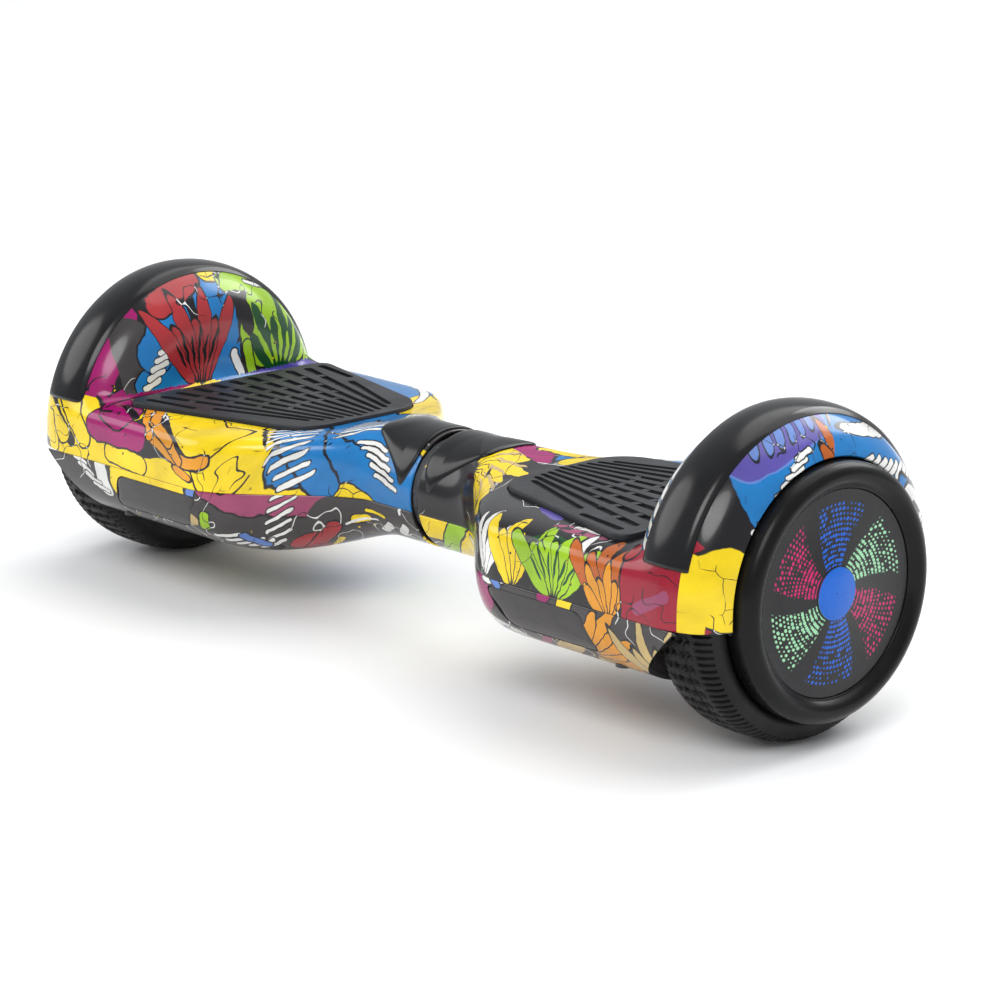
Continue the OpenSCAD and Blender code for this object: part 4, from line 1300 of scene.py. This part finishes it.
LOWER = {
    ("right", "front"): (CHARCOAL, [
        ("blob", 8, 44, 26, 14, 0, YELLOW, 1.2), ("bar", 2, 66, 20, 82, 9, BLUE, 1.0),
        ("bar", 22, 78, 36, 62, 5, LIME, 1.0),
        *stripes(6, 54, 22, 66, 4, 6, 1.2), ("bar", 4, 0, 62, 80, 7, LIME, 1.0),
        ("bar", 16, 0, 84, 84, 6.5, YELLOW, 1.2), ("bar", 34, 4, 100, 96, 3.0, INK, 0),
        ("bar", 58, 36, 72, 30, 3, WHITE, 1.0), ("bar", 52, 46, 74, 54, 2.6, WHITE, 1.0),
        ("bar", 84, 66, 118, 104, 9, MAGENTA, 1.1),
        ("blob", 122, 72, 22, 18, 0, WHITE, 1.3), *splash(110, 60, 5, 12, 100, 5, 28, 2.0, SKY),
        ("bar", 108, 54, 128, 54, 5, MAUVE, 0.9),
        ("blob", 94, 34, 26, 22, 0, CHARCOAL, 1.0), ("bar", 42, 8, 58, 26, 4, YELLOW, 1.0),
        ("bar", 104, 4, 208, 52, 7.5, ORANGE, 1.2), ("bar", 140, 30, 172, 40, 1.6, INK, 0),
        ("bar", 152, 60, 186, 94, 7, SAND, 1.0), ("bar", 196, 62, 214, 84, 13, SAND, 1.0),
        ("bar", 148, 74, 166, 92, 2.6, MAUVE, 0), ("bar", 120, 114, 136, 118, 2.0, WHITE, 1.0),
        ("bar", 126, 118, 132, 114, 2.0, SKY, 0.8), ("bar", 166, 115, 172, 122, 4, MAGENTA, 0.9),
        ("bar", 182, 112, 186, 124, 5, YELLOW, 1.0),
        *splash(188, 84, 6, 0, 60, 8, 46, 4.0, ORANGE, 1.2),
        *splash(246, 62, 5, 76, 124, 6, 56, 3.8, SAND, 1.2)]),
    ("right", "rear"): (CHARCOAL, [
        ("bar", 6, 46, 44, 90, 9, MAGENTA, 1.1), ("bar", 12, 20, 40, 40, 5, SKY, 1.0),
        ("bar", 66, 44, 88, 114, 9, YELLOW, 1.2), ("blob", 104, 40, 9, 26, 10, YELLOW, 1.2),
        ("bar", 96, 108, 122, 112, 5, WHITE, 1.1), ("bar", 100, 84, 200, 92, 16, CHARCOAL, 0),
        ("bar", 128, 34, 160, 64, 11, BLUE, 1.0), *stripes(132, 30, 158, 66, 4, 7, 1.5),
        ("bar", 182, 72, 226, 108, 15, WHITE, 1.2), *splash(186, 66, 6, 10, 72, 8, 46, 2.8, RED),
        ("blob", 186, 40, 8, 14, 20, VIOLET, 1.0, SKY),
        ("bar", 214, 30, 232, 92, 5, LIME, 1.1), ("bar", 244, 104, 250, 118, 4, RED, 1.0)]),
    ("left", "front"): (CHARCOAL, [
        ("bar", 126, 132, 64, 62, 9, MAUVE, 0.9), ("bar", 103, 122, 106, 112, 4.5, MAUVE, 0.9),
        ("bar", 66, 54, 18, 34, 8, CHARCOAL, 0), ("bar", 52, 36, 44, 34, 2.6, YELLOW, 0.9),
        ("bar", 58, 36, 38, 32, 0.8, WHITE, 0), ("bar", 30, 36, 42, 40, 1.2, YELLOW, 0.6),
        ("bar", 54, 58, 48, 62, 1.4, YELLOW, 0.5), *stripes(90, 58, 76, 88, 6, 6, 1.0),
        *stripes(114, 84, 94, 54, 5, 7, 1.4), ("bar", 104, 76, 98, 60, 2.4, SKY, 0.8),
        ("blob", 82, 40, 12, 9, 30, RED, 1.0), ("bar", 96, 30, 66, 40, 5, RED, 1.1),
        ("bar", 110, 16, 84, 26, 6, RED, 1.1),
        ("bar", 84, 20, 70, 28, 2, YELLOW, 0.8),
        ("bar", 38, 22, 28, 30, 2.6, WHITE, 0.8), ("bar", 22, 24, 14, 32, 2.6, WHITE, 0.8),
        ("bar", 14, 42, 12, 54, 0.9, WHITE, 0), ("bar", 8, 8, 0, 24, 4, YELLOW, 1.0),
        ("bar", 122, 92, 120, 98, 3.4, LIME, 0.9), ("bar", 127, 112, 126, 118, 3, SKY, 0.9),
        ("bar", 150, 111, 184, 109, 18, YELLOW, 1.1), ("bar", 164, 125, 132, 126, 4, ORANGE, 1.0),
        ("bar", 130, 96, 190, 94, 4.2, SAND, 1.0), ("bar", 214, 128, 208, 100, 5, WHITE, 1.0),
        *stripes(240, 122, 210, 98, 5, 6, 1.3), ("bar", 216, 126, 213, 120, 2.2, RED, 0.8),
        ("bar", 250, 122, 232, 104, 4, CHARCOAL, 0), ("bar", 226, 44, 130, 34, 6, SAND, 1.0),
        ("bar", 200, 28, 120, 10, 4, LIME, 1.0), *stripes(190, 20, 146, 12, 5, 4, 1.3),
        ("bar", 230, 74, 180, 84, 7, INK, 0)]),
    ("left", "rear"): (CHARCOAL, [
        ("bar", 12, 8, 30, 44, 5, YELLOW, 1.2), ("bar", 6, 40, 16, 84, 5, VIOLET, 1.0, SKY),
        ("bar", 28, 50, 54, 78, 13, BLUE, 1.1), *stripes(28, 50, 56, 80, 6, 9, 1.8),
        ("bar", 62, 66, 104, 116, 8, YELLOW, 1.2), ("bar", 64, 10, 90, 70, 11, FOREST, 1.0),
        *leaves(62, 6, 88, 16, 4, 8, 46, 4, LIME), ("blob", 108, 40, 10, 34, -8, VIOLET, 1.0, SKY),
        ("blob", 108, 38, 4, 20, -8, BLUE, 0.9, SKY), ("bar", 98, 96, 138, 108, 8, VIOLET, 1.0, SKY),
        ("bar", 134, 20, 170, 108, 14, BLUE, 1.2), *splash(146, 40, 5, 40, 100, 8, 56, 3.0, WHITE),
        ("bar", 194, 10, 200, 110, 8, YELLOW, 1.2),
        ("bar", 216, 88, 246, 110, 10, YELLOW, 1.2), ("bar", 214, 40, 232, 78, 7, INK, 0),
        ("bar", 236, 112, 250, 118, 4, WHITE, 1.0)]),
}


def film(side_name, region, layer):
    """Material of one region of a shell's film. layer is UPPER or LOWER."""
    base, shapes = layer[(side_name, region)]
    painted = Film(f"film_{'upper' if layer is UPPER else 'lower'}_{region}_{side_name}", region, base)
    painted.draw(shapes)
    return painted.done()


REGIONS = ("front", "rear", "outer", "inner")
FILMS_UPPER = {name: [film(name, region, UPPER) for region in REGIONS] for name, _ in SIDES}
FILMS_LOWER = {name: [film(name, region, LOWER) for region in REGIONS[:2]] for name, _ in SIDES}


# ---- assembly ----
def finish_cad_nodes():
    """Gives each CAD node the finish of its material slot."""
    for name, node in frame["nodes"].items():
        for slot in node.material_slots:
            slot_name = slot.material.name.split(".")[0]
            slot.material = FINISH.get(slot_name, slot.material)


for side_name, side in SIDES:
    upper_shell(side_name, side)
    lower_shell(side_name, side)
    fender_bumper(side_name, side)
    centre_cover(side_name, side)
    headlight_lens(side_name, side)
    foot_mat(side_name, side)
    tyre(side_name, side)
    hub_cap(side_name, side)
rear_fittings()
finish_cad_nodes()


# ---- studio ----
def studio():
    """Pale floor, soft sky and four round lamps."""
    floor = put("studio_floor", [(-9000, -9000, 0), (9000, -9000, 0), (9000, 9000, 0), (-9000, 9000, 0)],
                [(0, 1, 2, 3)], floor_material())
    floor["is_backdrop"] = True
    world = bpy.data.worlds.new("studio_world")
    world.use_nodes = True
    world.node_tree.nodes["Background"].inputs[0].default_value = (0.92, 0.94, 0.97, 1)
    world.node_tree.nodes["Background"].inputs[1].default_value = 0.62
    bpy.context.scene.world = world
    lamp("key", (1.1, -1.5, 1.7), 1.3, 26)
    lamp("fill", (-1.7, -1.2, 1.3), 1.5, 14)
    lamp("rim", (0.2, 1.9, 1.5), 1.4, 20)
    lamp("sky", (0, 3.5, 6), 9, 330)


def lamp(name, place, size, power):
    light = bpy.data.lights.new(name, "AREA")
    light.shape = "DISK"
    light.size = size
    light.energy = power
    stand = bpy.data.objects.new(name, light)
    stand.location = place
    stand.rotation_euler = (Vector((0, 0, AXLE_Z * MM)) - Vector(place)).to_track_quat("-Z", "Y").to_euler()
    bpy.context.scene.collection.objects.link(stand)


def floor_material():
    n = Nodes("studio_floor")
    n.surface(color=n.mix(n.noise(3), (0.9, 0.9, 0.9), (0.93, 0.93, 0.93)), roughness=0.6)
    return n.material


def camera():
    """Long lens at the front right, a little above the board."""
    azimuth, elevation, distance = math.radians(47.13), math.radians(14.79), 2.16
    target = Vector((0.0345, 0, 0.0836))
    back = Vector((math.sin(azimuth) * math.cos(elevation), -math.cos(azimuth) * math.cos(elevation),
                   math.sin(elevation)))
    lens = bpy.data.cameras.new("camera")
    lens.lens = 139.5
    lens.clip_end = 60
    eye = bpy.data.objects.new("camera", lens)
    eye.location = target + back * distance
    eye.rotation_euler = back.to_track_quat("Z", "Y").to_euler()
    bpy.context.scene.collection.objects.link(eye)
    bpy.context.scene.camera = eye


studio()
camera()
bpy.context.scene.view_settings.view_transform = "Standard"
VISUAL_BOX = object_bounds()
boxes = {"cad": CAD_BOX, "visual": VISUAL_BOX}
{name: [list(corner) for corner in box] for name, box in boxes.items()}
